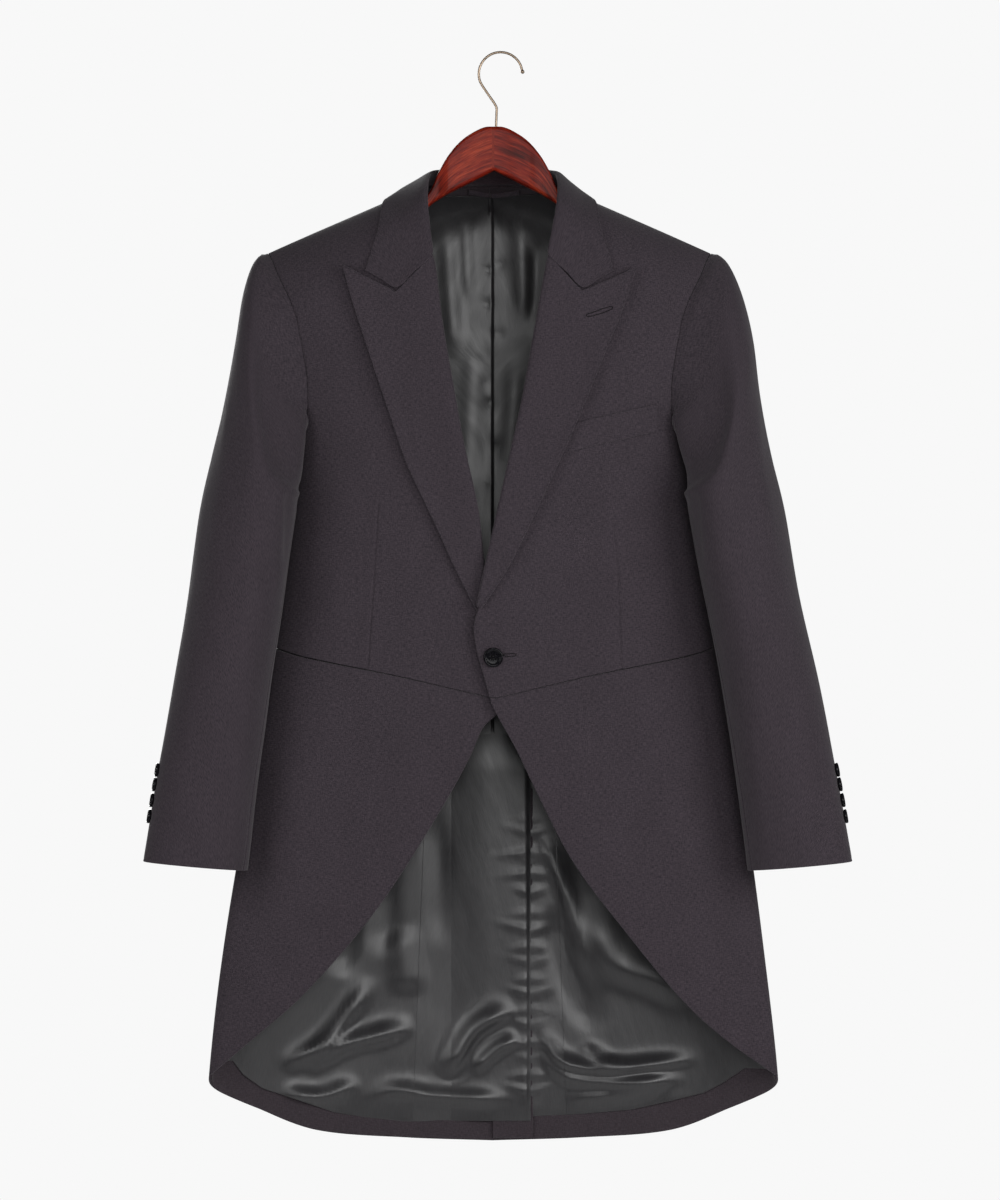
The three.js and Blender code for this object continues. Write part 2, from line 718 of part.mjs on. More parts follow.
function addBreastWelt() {
  const { thick } = breastWelt;
  const grid = stripNet(breastWelt, 2, 5).map((row) => row.map(([x, height]) => onTrunk(x, height)));
  const lift = (spot) => layerGap + thick + lapLift("left", spot);
  addPiece("breast_welt", clothOn(trunkPoint, trunkNormal, grid, { lift, thick }), wool);
}

// The part of the right back that passes inside the left one below the vent's top.
function addVentUnderlap() {
  const { height, slant, overlap, hemHeight, lift, thick } = vent;
  const from = centreSeamX + layerGap;
  const to = centreSeamX + overlap;
  const outline = {
    upper: [[from, height], [to, height - slant]],
    lower: [[from, hemHeight], [to, hemHeight]],
  };
  const grid = stripNet(outline, 8, 3).map((row) => row.map(([x, rise]) => onTrunk(x, rise, "back", 1)));
  addPiece("vent_underlap", clothOn(trunkPoint, trunkNormal, grid, { lift, thick }), wool);
}

function addHangingLoop() {
  const { lift, thick } = loop;
  const grid = stripNet(loop, 1, 6).map((row) => row.map(([x, rise]) => onTrunk(x, rise, "back", 1)));
  addPiece("hanging_loop", clothOn(trunkPoint, trunkNormal, grid, { lift, thick }), wool);
}

// ---- collar

// A table's cell as a point: given outright, or as a place on the trunk with a lift.
function placeOf(cell, sign, shift) {
  if ("y" in cell) return vector(sign * cell.x + shift, cell.y, cell.height);
  const spot = onTrunk(sign * cell.x + shift, cell.height, cell.face, sign);
  return raised(spot, cell.lift);
}

// The collar's foot, fold, fall and edge as curves round the neck.
function collarCurves() {
  const ends = [...collarStations].reverse().map((station) => ({ station, sign: -1 }));
  const others = collarStations.slice(1).map((station) => ({ station, sign: 1 }));
  const shiftShare = { foot: 1, fold: 1, middle: 0.5, edge: 0 };
  const stations = [...ends, ...others];
  return Object.fromEntries(
    Object.entries(shiftShare).map(([column, share]) => {
      const spotOf = ({ station, sign }) => placeOf(station[column], sign, station.shift * share);
      return [column, new THREE.CatmullRomCurve3(stations.map(spotOf), false, "centripetal")];
    }),
  );
}

// One section of the collar: up the stand, round the fold and down the fall.
function collarSection(curves, share) {
  const [foot, fold, middle, edge] = ["foot", "fold", "middle", "edge"].map((name) =>
    curves[name].getPoint(share),
  );
  const up = fold.clone().sub(foot.clone().lerp(middle, 0.5)).normalize();
  const across = middle.clone().sub(foot);
  across.addScaledVector(up, -across.dot(up)).normalize();
  const beside = (way) =>
    fold.clone().addScaledVector(across, way * collarRoll).addScaledVector(up, -collarRoll);
  const inside = beside(-1);
  const outside = beside(1);
  return [
    foot,
    foot.clone().lerp(inside, 0.5),
    inside,
    fold,
    outside,
    outside.clone().lerp(middle, 0.5),
    middle,
    middle.clone().lerp(edge, 0.5),
    edge,
  ];
}

function addCollar() {
  const curves = collarCurves();
  const outer = even(collarSteps).map((share) => collarSection(curves, share));
  const inner = outer.map((row, r) =>
    row.map((spot, c) => {
      const along = outer[Math.min(r + 1, collarSteps)][c].clone().sub(outer[Math.max(r - 1, 0)][c]);
      const down = row[Math.min(c + 1, row.length - 1)].clone().sub(row[Math.max(c - 1, 0)]);
      return spot.clone().addScaledVector(along.cross(down).normalize(), clothWall);
    }),
  );
  addPiece("collar", wallBetween(drawIn(outer), drawIn(inner)), wool);
}

// ---- sleeves

// A point of one of the sleeve's rings, by the angle round it from its outer point towards the front.
function ringPoint(sign, ring, angle) {
  const [outX, inX] = [ring.outX, ring.inX].map((x) => x + (sign > 0 ? ring.splay : 0));
  const outward = vector(outX - inX, 0, ring.outHeight - ring.inHeight);
  const halfWidth = outward.length() / 2;
  outward.normalize();
  const turn = degToRad(ring.turn);
  const short = Math.sqrt(halfWidth ** 2 - (ring.halfDepth * Math.sin(turn)) ** 2) / Math.cos(turn);
  const ahead = vector(0, -1, 0);
  const shortAxis = outward.clone().multiplyScalar(Math.cos(turn)).addScaledVector(ahead, Math.sin(turn));
  const longAxis = ahead.clone().multiplyScalar(Math.cos(turn)).addScaledVector(outward, -Math.sin(turn));
  const spot = vector((outX + inX) / 2, ring.middleY, (ring.outHeight + ring.inHeight) / 2);
  spot.addScaledVector(shortAxis, short * Math.cos(degToRad(angle)));
  spot.addScaledVector(longAxis, ring.halfDepth * Math.sin(degToRad(angle)));
  const lowFront = angle > 90 && angle < 180 ? Math.sin(degToRad(2 * angle)) : 0;
  spot.x -= ring.drape * lowFront ** 2;
  return vector(sign * spot.x, spot.y, spot.z);
}

// The sleeve's form, by the angle round it and the number of rings down it.
function sleeveForm(sign) {
  const hole = armholeOf(sign);
  const step = vector(sign * armholeGap, 0, 0);
  const ringAt = (number, angle) => {
    const share = (((angle % 360) + 360) % 360) / 360;
    if (number <= 0) return trunkPoint(hole(share)).add(step);
    return ringPoint(sign, sleeveRings[Math.min(number, sleeveRings.length) - 1], angle);
  };
  return ([angle, down]) => {
    const number = clamp(Math.floor(down), 0, sleeveRings.length - 1);
    const spots = [-1, 0, 1, 2].map((offset) => ringAt(number + offset, angle));
    const t = down - number;
    const mixed = (axis) => {
      const [a, b, c, d] = spots.map((spot) => spot[axis]);
      return b + (t / 2) * (c - a + t * (2 * a - 5 * b + 4 * c - d + t * (3 * (b - c) + d - a)));
    };
    return vector(mixed("x"), mixed("y"), mixed("z"));
  };
}

const sleeveRows = [0, 0.4, 1, 1.5, 2, 2.5, 3, 4, 5, 6, 8, 10];
const settledRow = 3; // from here down the columns are evenly spaced round the sleeve

// Angles round the armhole of the rows and columns of the pieces that end there, from the hind seam
// over the shoulder to the fore seam, and on under the arm.
function sleeveColumns(sign) {
  const low = sideSeamShare(sign);
  const behind = netRows.backHole.map((share) => (backSeamOnArmhole - 1) * share * 360);
  const ahead = netRows.frontHole.map((share) => low * share * 360);
  const under = even(netColumns.sideBody).map((share) => lerp(low, backSeamOnArmhole, share) * 360);
  const hind = behind.length - 3;
  const fore = ahead.length - 2;
  return {
    top: [...behind.slice(1, hind + 1).reverse(), ...ahead.slice(0, fore + 1)],
    under: [ahead[fore], ...under, ...behind.slice(hind, -1).reverse().map((angle) => angle + 360)],
  };
}

function addSleeve(side) {
  const sign = sideOf[side];
  const form = sleeveForm(sign);
  const normal = (spot) =>
    spot[1] === 0 ? armholeDirection(form(spot)) : normalOf(form, spot, 0.02).multiplyScalar(sign);
  const columns = sleeveColumns(sign);
  const piece = (angles, from, to) =>
    sleeveRows.map((down) => {
      const settled = smoothstep(down, 0, settledRow);
      return angles.map((angle, i) => [lerp(angle, lerp(from, to, i / (angles.length - 1)), settled), down]);
    });
  const top = piece(columns.top, hindSeam, foreSeam);
  const under = piece(columns.under, foreSeam, hindSeam + 360);
  addPiece(`sleeve_top_${side}`, clothOn(form, normal, top), wool);
  addPiece(`sleeve_under_${side}`, clothOn(form, normal, under), wool);
  for (let i = 0; i < cuffRow.count; i += 1) {
    const height = cuffRow.firstHeight - i * cuffRow.pitch;
    const spot = [cuffRow.angle, sleeveRowAt(height)];
    addButton(`cuff_button_${side}_${i + 1}`, form(spot), normal(spot), cuffButton);
  }
}

// How many rings down the outer line of the sleeve a height lies.
function sleeveRowAt(height) {
  const next = sleeveRings.findIndex((ring) => ring.outHeight < height);
  const above = sleeveRings[next - 1].outHeight;
  return next + (above - height) / (above - sleeveRings[next].outHeight);
}

// ---- buttons, hanger and hook

// A turned button with a rim and a dished middle.
function addButton(name, place, outward, { radius, thick, seat, segments }) {
  const profile = buttonProfile.map(([out, up]) => new THREE.Vector2(out * radius, up * thick));
  const geometry = new THREE.LatheGeometry(profile, segments);
  const turn = new THREE.Quaternion().setFromUnitVectors(vector(0, 1, 0), outward);
  const foot = place.clone().addScaledVector(outward, seat);
  geometry.applyQuaternion(turn).translate(foot.x, foot.y, foot.z);
  addPiece(name, geometry, horn);
}

function addFrontButton() {
  const spot = onTrunk(frontButton.x, frontButton.height);
  const direction = trunkNormal(spot);
  addButton("front_button", raised(spot, lapLift("left", spot)), direction, frontButton);
}

// A solid through closed rings of points, with flat ends.
function loft(rings) {
  const sides = rings[0].length;
  const middle = (ring) => ring.reduce((sum, spot) => sum.add(spot), vector(0, 0, 0)).divideScalar(sides);
  const corners = [...rings.flat(), middle(rings[0]), middle(rings[rings.length - 1])];
  const [firstMiddle, lastMiddle] = [corners.length - 2, corners.length - 1];
  const faces = [];
  for (let i = 0; i < sides; i += 1) {
    const next = (i + 1) % sides;
    for (let ring = 0; ring < rings.length - 1; ring += 1) {
      const [a, b] = [ring * sides + i, ring * sides + next];
      faces.push(a, b, b + sides, a, b + sides, a + sides);
    }
    const end = (rings.length - 1) * sides;
    faces.push(firstMiddle, next, i, lastMiddle, end + i, end + next);
  }
  return solidFrom(corners, faces);
}

function addHanger() {
  const arm = hangerSections.map((row) => row.out);
  const outs = [...arm.slice(1).reverse().map((out) => -out), ...arm];
  const rings = outs.map((out) => {
    const at = (column) => sample(hangerSections, "out", column, Math.abs(out));
    const [high, low, depth] = [at("top"), at("bottom"), at("halfDepth")];
    return Array.from({ length: hanger.sectionSides }, (_, i) => {
      const angle = ((i + 0.5) / hanger.sectionSides) * 2 * Math.PI;
      const y = hanger.middleY + depth * Math.sin(angle);
      return vector(hanger.middleX + out, y, (high + low) / 2 + ((high - low) / 2) * Math.cos(angle));
    });
  });
  addPiece("hanger_body", loft(rings), mahogany);
}

// The hook: a ball at its tip, a round bend over the rail and a cranked stem into the hanger.
function addHook() {
  const { wireRadius, bendRadius, bendSteps, tipAngle, heelAngle, ballRadius, seat, stemHeight } = hook;
  const middle = { x: hookCrown.x, z: hookCrown.height + wireRadius - bendRadius };
  const onBend = (angle) => {
    const [across, up] = [Math.cos(degToRad(angle)), Math.sin(degToRad(angle))];
    return vector(middle.x + bendRadius * across, hanger.middleY, middle.z + bendRadius * up);
  };
  const spots = even(bendSteps).map((share) => onBend(lerp(tipAngle, heelAngle, share)));
  const stemFoot = hangerSections[0].top + seat;
  const elbow = vector(hanger.middleX + hook.stemX, hanger.middleY, stemFoot + stemHeight);
  const stem = [
    ...hook.crankShares.map((share) => spots[bendSteps].clone().lerp(elbow, share)),
    ...hook.stemBends.map((below) => elbow.clone().add(vector(hook.stemAside, 0, -below))),
    vector(elbow.x, elbow.y, stemFoot),
  ];
  const path = [...spots, ...stem];
  const rings = path.map((spot, i) => {
    const before = path[Math.max(i - 1, 0)];
    const after = path[Math.min(i + 1, path.length - 1)];
    const along = i === path.length - 1 ? vector(0, 0, -1) : after.clone().sub(before).normalize();
    const aside = along.clone().cross(vector(0, 1, 0)).normalize();
    return { spot, aside, radius: wireRadius };
  });
  const tip = rings[0];
  const tipWay = onBend(tipAngle - 1).sub(tip.spot).normalize();
  const ball = hook.ballShares.map((share, i) => ({
    spot: tip.spot.clone().addScaledVector(tipWay, ballRadius * (2 - i * hook.ballStep)),
    aside: tip.aside,
    radius: share * ballRadius,
  }));
  const ring = ({ spot, aside, radius }) =>
    Array.from({ length: hook.wireSides }, (_, i) => {
      const angle = (i / hook.wireSides) * 2 * Math.PI;
      const out = aside.clone().multiplyScalar(Math.cos(angle) * radius);
      return spot.clone().add(out).add(vector(0, Math.sin(angle) * radius, 0));
    });
  addPiece("hanger_hook", loft([...ball, ...rings].map(ring)), nickel);
}

const neckBands = ["right", "left"].map((side) => {
  addForepart(side);
  addSideBody(side);
  addLapel(side);
  addSleeve(side);
  return addBackAndSkirt(side);
});
addNeckFacing(...neckBands);
addHangingLoop();
addVentUnderlap();
addBreastWelt();
addCollar();
addFrontButton();
addHanger();
addHook();

coat.position.set(-hookCrown.x, -hanger.middleY, -hookCrown.height);

const root = new THREE.Group();
root.add(coat);

export default root;
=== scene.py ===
import math

import bpy
import numpy as np
from mathutils import Matrix, Vector


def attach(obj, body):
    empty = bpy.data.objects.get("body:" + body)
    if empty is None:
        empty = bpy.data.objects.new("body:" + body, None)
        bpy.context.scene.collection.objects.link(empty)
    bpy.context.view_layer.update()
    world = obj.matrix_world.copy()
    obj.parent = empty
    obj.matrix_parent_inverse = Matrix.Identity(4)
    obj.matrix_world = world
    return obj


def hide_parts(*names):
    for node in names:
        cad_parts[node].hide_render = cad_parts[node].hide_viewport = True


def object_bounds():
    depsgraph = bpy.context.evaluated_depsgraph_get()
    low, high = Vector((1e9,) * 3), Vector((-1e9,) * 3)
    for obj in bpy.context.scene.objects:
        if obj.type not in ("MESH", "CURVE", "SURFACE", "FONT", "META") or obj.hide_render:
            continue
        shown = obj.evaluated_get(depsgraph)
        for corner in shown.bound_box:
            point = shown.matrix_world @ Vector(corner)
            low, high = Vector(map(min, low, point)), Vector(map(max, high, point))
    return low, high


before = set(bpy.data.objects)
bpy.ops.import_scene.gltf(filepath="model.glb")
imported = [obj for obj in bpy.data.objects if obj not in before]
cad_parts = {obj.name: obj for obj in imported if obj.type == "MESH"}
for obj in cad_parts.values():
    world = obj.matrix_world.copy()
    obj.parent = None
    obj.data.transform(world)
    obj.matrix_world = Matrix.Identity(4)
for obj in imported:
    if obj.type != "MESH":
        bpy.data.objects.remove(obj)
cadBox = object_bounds()
print("frame loaded:", len(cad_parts), "nodes")

# Tables are in millimetres: x from the middle of the shoulders, height up from the lowest hem.
# The frame's origin is the crown of the hook, which lies here in them.
hookCrown = np.array([11.6, 4.0, 1145.1])
signOf = {"right": -1, "left": 1}  # the wearer's sides


# ---- nodes and colours

def srgb(code):
    parts = [int(code[i:i + 2], 16) / 255 for i in (1, 3, 5)]
    return tuple(p / 12.92 if p <= 0.04045 else ((p + 0.055) / 1.055) ** 2.4 for p in parts) + (1.0,)


def addNode(tree, kind, settings=None, inputs=None):
    node = tree.nodes.new(kind)
    for name, value in (settings or {}).items():
        setattr(node, name, value)
    for name, value in (inputs or {}).items():
        if isinstance(value, bpy.types.NodeSocket):
            tree.links.new(value, node.inputs[name])
        else:
            node.inputs[name].default_value = value
    return node


def newMaterial(name):
    material = bpy.data.materials.new(name)
    material.use_nodes = True
    material.node_tree.nodes.clear()
    return material, material.node_tree


def finishSurface(tree, inputs):
    shader = addNode(tree, "ShaderNodeBsdfPrincipled", None, inputs)
    addNode(tree, "ShaderNodeOutputMaterial", None, {"Surface": shader.outputs["BSDF"]})
    return shader


def clothPlace(tree):
    return addNode(tree, "ShaderNodeUVMap", {"uv_map": "metres"}).outputs["UV"]


def pattern(tree, place, across, up, detail=2.0, rough=0.5):
    # flat noise over places in metres, with so many spots a metre across and up
    stretched = addNode(tree, "ShaderNodeMapping", None, {"Vector": place, "Scale": (across, up, 1.0)})
    return addNode(tree, "ShaderNodeTexNoise", {"noise_dimensions": "2D"},
                   {"Vector": stretched.outputs["Vector"], "Scale": 1.0, "Detail": detail,
                    "Roughness": rough}).outputs["Fac"]


def clothPattern(tree, across, up, detail=2.0):
    return pattern(tree, clothPlace(tree), across, up, detail)


def solidPattern(tree, spots, detail=2.0):
    # noise through the piece, with so many spots a metre
    place = addNode(tree, "ShaderNodeTexCoord").outputs["Object"]
    return addNode(tree, "ShaderNodeTexNoise", None,
                   {"Vector": place, "Scale": spots, "Detail": detail}).outputs["Fac"]


def bumped(tree, height, strength, distance):
    return addNode(tree, "ShaderNodeBump", None,
                   {"Height": height, "Strength": strength, "Distance": distance}).outputs["Normal"]


def mixed(tree, blend, factor, first, second):
    # inputs 0, 6 and 7 are the factor and the two colours
    node = addNode(tree, "ShaderNodeMix", {"data_type": "RGBA", "blend_type": blend},
                   {0: factor, 6: first, 7: second})
    return node.outputs[2]


def ranged(tree, value, low, high, outLow, outHigh):
    return addNode(tree, "ShaderNodeMapRange", None,
                   {"Value": value, "From Min": low, "From Max": high,
                    "To Min": outLow, "To Max": outHigh}).outputs["Result"]


# Worsted wool suiting, plain weave in two close yarns: fine, dry and matt, with a grain of single
# darker and lighter threads. Yarns lie 0.35 mm apart, and are drawn about 1 mm apart so that they show.
def worstedWool(name, dark, light, thread=1600.0):
    material, tree = newMaterial(name)
    warp = clothPattern(tree, thread * 0.62, thread * 0.17)
    weft = clothPattern(tree, thread * 0.15, thread * 0.55)
    cloudy = clothPattern(tree, 34.0, 20.0, 3.0)
    grain = addNode(tree, "ShaderNodeMath", {"operation": "ADD"}, {0: warp, 1: weft}).outputs[0]
    tone = mixed(tree, "MIX", ranged(tree, grain, 0.62, 1.38, 0.0, 1.0), srgb(dark), srgb(light))
    shade = ranged(tree, cloudy, 0.3, 0.7, 0.96, 1.04)
    colour = addNode(tree, "ShaderNodeVectorMath", {"operation": "SCALE"}, {0: tone, "Scale": shade})
    bump = bumped(tree, grain, 0.35, 0.0004)
    finishSurface(tree, {"Base Color": colour.outputs[0], "Roughness": 0.86, "Specular IOR Level": 0.16,
                         "Sheen Weight": 0.12, "Sheen Roughness": 0.5, "Normal": bump})
    return material


# Viscose satin lining: a smooth warp face that shines along the folds, with very fine weft ribs.
def viscoseSatin(name, dark, light):
    material, tree = newMaterial(name)
    ribs = clothPattern(tree, 900.0, 90.0)
    pressed = clothPattern(tree, 60.0, 18.0, 4.0)
    tone = mixed(tree, "MIX", ranged(tree, ribs, 0.25, 0.75, 0.0, 1.0), srgb(dark), srgb(light))
    height = addNode(tree, "ShaderNodeMath", {"operation": "MULTIPLY_ADD"},
                     {0: ribs, 1: 0.12, 2: pressed}).outputs[0]
    bump = bumped(tree, height, 0.3, 0.001)
    rough = ranged(tree, pressed, 0.3, 0.7, 0.35, 0.43)
    finishSurface(tree, {"Base Color": tone, "Roughness": rough, "Specular IOR Level": 0.66,
                         "Anisotropic": 0.35, "Sheen Weight": 0.05, "Normal": bump})
    return material


# Polyester resin turned on a lathe: near black, glassy, with faint concentric tool marks.
def turnedResin(name, tone):
    material, tree = newMaterial(name)
    swirl = solidPattern(tree, 700.0, 3.0)
    clouded = mixed(tree, "MIX", ranged(tree, swirl, 0.3, 0.7, 0.0, 1.0), srgb(tone), srgb("#17161a"))
    bump = bumped(tree, swirl, 0.05, 0.0002)
    finishSurface(tree, {"Base Color": clouded, "Roughness": ranged(tree, swirl, 0.3, 0.7, 0.07, 0.14),
                         "IOR": 1.5, "Specular IOR Level": 0.12, "Normal": bump})
    return material


# Mahogany, stained red and sprayed with several coats of polished lacquer: long grain runs along the
# arms under a clear gloss. Pores are 0.3 mm wide and are drawn 1 mm wide.
def lacqueredMahogany(name, dark, mid, light):
    material, tree = newMaterial(name)
    place = clothPlace(tree)
    wander = addNode(tree, "ShaderNodeTexNoise", None, {"Vector": place, "Scale": 9.0, "Detail": 3.0})
    bent = addNode(tree, "ShaderNodeVectorMath", {"operation": "MULTIPLY_ADD"},
                   {0: wander.outputs["Color"], 1: (0.0, 0.016, 0.0), 2: place}).outputs[0]
    bands = pattern(tree, bent, 14.0, 190.0, 5.0, 0.6)
    pores = pattern(tree, bent, 70.0, 1000.0)
    ribbon = addNode(tree, "ShaderNodeValToRGB", None, {"Fac": bands})
    ramp = ribbon.color_ramp
    ramp.elements[0].position, ramp.elements[0].color = 0.3, srgb(dark)
    ramp.elements[1].position, ramp.elements[1].color = 0.72, srgb(light)
    ramp.elements.new(0.5).color = srgb(mid)
    tone = mixed(tree, "MULTIPLY", ranged(tree, pores, 0.45, 0.7, 0.0, 0.55), ribbon.outputs["Color"],
                 srgb("#8a5a50"))
    bump = bumped(tree, pores, 0.12, 0.0003)
    finishSurface(tree, {"Base Color": tone, "Roughness": 0.5, "Specular IOR Level": 0.1,
                         "Coat Weight": 0.1, "Coat Roughness": 0.12, "Coat IOR": 1.45,
                         "Normal": bump})
    return material


# Nickel-plated steel wire, drawn and polished: warm grey metal with faint lines along it.
def platedNickel(name, tone):
    material, tree = newMaterial(name)
    drawn = clothPattern(tree, 30.0, 400.0)
    finishSurface(tree, {"Base Color": srgb(tone), "Metallic": 1.0,
                         "Roughness": ranged(tree, drawn, 0.3, 0.7, 0.36, 0.46)})
    return material


# Silk sewing thread, twisted from three strands: a soft shine along each short stitch.
def twistedSilk(name, tone):
    material, tree = newMaterial(name)
    strand = solidPattern(tree, 2500.0, 1.0)
    twist = ranged(tree, strand, 0.3, 0.7, 0.0, 0.5)
    colour = mixed(tree, "MULTIPLY", twist, srgb(tone), srgb("#8c8c8c"))
    finishSurface(tree, {"Base Color": colour, "Roughness": 0.6, "Specular IOR Level": 0.3})
    return material


# Matt painted studio floor, pale and even.
def paintedFloor(name, tone):
    material, tree = newMaterial(name)
    roller = solidPattern(tree, 60.0)
    colour = mixed(tree, "MIX", ranged(tree, roller, 0.3, 0.7, 0.0, 1.0), srgb(tone), srgb("#f2f2f2"))
    finishSurface(tree, {"Base Color": colour, "Roughness": 0.8, "Specular IOR Level": 0.2})
    return material


wool = worstedWool("worstedWoolSuiting", "#29242a", "#423a40")
# the same suiting drawn darker for the hem facings, the vent's underlap and the neck facing inside the
# coat: the darkening is painted shade
insideShadedWool = worstedWool("worstedWoolInsidePaintedShade", "#2b2529", "#3a3338")
satin = viscoseSatin("viscoseSatinLining", "#1b1a1c", "#262527")
resin = turnedResin("turnedResinButton", "#060607")
mahogany = lacqueredMahogany("lacqueredMahogany", "#3c0a03", "#761a0b", "#a03a1e")
nickel = platedNickel("platedNickelWire", "#a3917f")
silk = twistedSilk("twistedSilkThread", "#1c191b")
blackSilk = twistedSilk("twistedSilkBlack", "#0d0c0d")
floorPaint = paintedFloor("paintedStudioFloor", "#ececec")
print("materials made")


# ---- curves, tables and nets

def sample(at, places, values):
    # a column of a table at a place along another column, through a smooth curve
    places, values = np.asarray(places, float), np.asarray(values, float)
    last = len(places) - 1
    at = np.clip(at, places[0], places[-1])
    i = np.clip(np.searchsorted(places, at) - 1, 0, last - 1)
    steps = np.arange(last + 1)
    before, after = np.maximum(steps - 1, 0), np.minimum(steps + 1, last)
    slopes = (values[after] - values[before]) / (places[after] - places[before])
    width = places[i + 1] - places[i]
    t = (at - places[i]) / width
    rise = values[i + 1] - values[i]
    leave, arrive = slopes[i] * width - rise, slopes[i + 1] * width - rise
    return values[i] + rise * t + t * (1 - t) * (leave * (1 - t) - arrive * t)


def smoothline(points, steps=32):
    # points along a smooth curve through the given ones
    points = np.asarray(points, float)
    padded = np.vstack([2 * points[0] - points[1], points, 2 * points[-1] - points[-2]])
    parts = []
    for a, b, c, d in zip(padded, padded[1:], padded[2:], padded[3:]):
        g0, g1, g2 = (max(np.linalg.norm(q - p), 1e-9) ** 0.5 for p, q in ((a, b), (b, c), (c, d)))
        leave = ((b - a) / g0 - (c - a) / (g0 + g1) + (c - b) / g1) * g1
        arrive = ((c - b) / g1 - (d - b) / (g1 + g2) + (d - c) / g2) * g1
        t = np.linspace(0, 1, steps, endpoint=False)[:, None]
        parts.append(b + leave * t + (3 * (c - b) - 2 * leave - arrive) * t ** 2
                     + (2 * (b - c) + leave + arrive) * t ** 3)
    return np.vstack([*parts, points[-1:]])


def columnsAt(at, places, values):
    # every column of a table at places along its rows
    return np.stack([np.interp(at, places, column) for column in values.T], -1)


def unit(vectors):
    return vectors / np.linalg.norm(vectors, axis=-1, keepdims=True)


def along(line):
    return np.concatenate([[0], np.cumsum(np.linalg.norm(np.diff(line, axis=0), axis=1))])


def through(points, sharp=False):
    # the same curve as a function of the share of its length
    line = np.asarray(points, float) if sharp else smoothline(points)
    length = along(line)

    def at(share):
        return columnsAt(np.clip(share, 0, 1) * length[-1], length, line)
    return at


def lerp(a, b, t):
    return a + (b - a) * t


def smoothstep(x, low, high):
    t = np.clip((x - low) / (high - low), 0, 1)
    return t * t * (3 - 2 * t)


def partOf(curve, start, end):
    return lambda share: curve(lerp(start, end, share))


def joined(first, second, share):
    return lambda down: np.where((down <= share)[:, None], first(np.minimum(down / share, 1)),
                                 second(np.maximum((down - share) / (1 - share), 0)))


def net(top, bottom, start, end, downs, acrosses):
    # a net of points between four sides
    down, across = downs[:, None, None], acrosses[None, :, None]
    ends = np.array([0.0, 1.0])
    (topStart, topEnd), (lowStart, lowEnd) = top(ends), bottom(ends)
    ruled = lerp(top(acrosses)[None], bottom(acrosses)[None], down)
    crossed = lerp(start(downs)[:, None], end(downs)[:, None], across)
    flat = lerp(lerp(topStart, topEnd, across), lerp(lowStart, lowEnd, across), down)
    return ruled + crossed - flat


def spaced(length, step, near=(0, 0.35, 0.8, 1.4, 2.2, 3.4, 5.0)):
    # shares along a length, close together at its two ends
    near = np.array(near)
    middle = np.linspace(near[-1], length - near[-1], max(int((length - 2 * near[-1]) / step), 1) + 1)
    return np.concatenate([near[:-1], middle, (length - near[:-1])[::-1]]) / length


def sharesOf(facts):
    # a net's rows and columns, from the length, the width and the steps in millimetres
    rowStep = facts.get("rowStep", facts["step"])
    return spaced(facts["length"], rowStep), spaced(facts["width"], facts["step"])


# ---- the trunk's form, by the angle round it in degrees and the rise up its cloth

shoulder = {"neckX": 108, "neckHeight": 990, "slope": 0.43, "rounding": 75}
trunk = {
    "topHeight": 850, "middleY": 8, "power": 2.4,
    # height, half width, depth in front and behind, and the shift of the middle
    "sections": np.array([
        (0, 300, 33, 40, 4), (70, 299, 34, 41, 4), (206, 284, 38, 43, 4), (361, 261, 42, 44, 6),
        (519, 233, 46, 46, 5.5), (642, 216, 56, 56, 4.5), (735, 207, 66, 66, 1), (800, 226, 68, 68, 0),
        (850, 250, 66, 66, 0)], float),
    # by the angle round the trunk
    "waistSeam": np.array([(0, 471), (31, 499), (65, 518), (90, 524), (140, 532), (160, 532),
                           (180, 532)]),
    "hem": np.array([(84, 72), (114, 50), (128, 35), (144, 11), (163, 3), (180, 0)]),
    "sideSeamAngle": 80,
    "tailSeamWaistX": 62, "tailSeamHemX": 82,
    "armhole": [
        ("front", 233, 935), ("front", 221, 911), ("front", 208, 884), ("front", 199, 853),
        ("front", 193, 820), ("front", 190, 788), ("front", 194, 757), ("side", 0, 735),
        ("back", 197, 760), ("back", 192, 795), ("back", 195, 830), ("back", 203, 865),
        ("back", 218, 905), ("back", 233, 935)],
    "armholeScale": 2.6,  # millimetres of cloth for each degree near the side
    "backSeamOnArmhole": 0.66,
    "sideBackSeam": [(172, 745), (134, 680), (92, 605), (66, 553)],
    "centreSeamX": 3,
    "neckPoint": {"right": -74, "left": 82},
    "backNeck": {"right": [(3, 1011), (-46, 1009.6), (-74, 1004.6)],
                 "left": [(3, 1011), (54, 1009.6), (82, 1001.2)]},
    # the armhole's part of a forepart's side and of the back's, the body's part of the back's long seam,
    # and the neckline's part of the back's top
    "holePart": 0.55, "backHolePart": 0.27, "backBodyPart": 0.4, "neckShare": 0.375,
}


def shoulderHeight(x):
    return shoulder["neckHeight"] - shoulder["slope"] * (np.abs(x) - shoulder["neckX"])


def trunkSection(rise):
    table = trunk["sections"]
    at = np.minimum(rise, trunk["topHeight"])
    return [sample(at, table[:, 0], table[:, k]) for k in (1, 2, 3, 4)]


def trunkPoint(spots):
    angle, rise = np.radians(spots[..., 0]), spots[..., 1]
    halfWidth, front, back, middleX = trunkSection(rise)
    across, ahead = np.sin(angle), np.cos(angle)
    power = trunk["power"]
    reach = (np.abs(across) ** power + np.abs(ahead) ** power) ** (-1 / power)
    x = middleX + halfWidth * across * reach
    depth = np.where(ahead > 0, front, back)
    start = shoulderHeight(x) - shoulder["rounding"]
    over = np.maximum(rise - start, 0) / shoulder["rounding"]
    height = np.minimum(rise, start) + shoulder["rounding"] * np.sin(over)
    return np.stack([x, trunk["middleY"] - depth * ahead * reach * np.cos(over), height], -1)


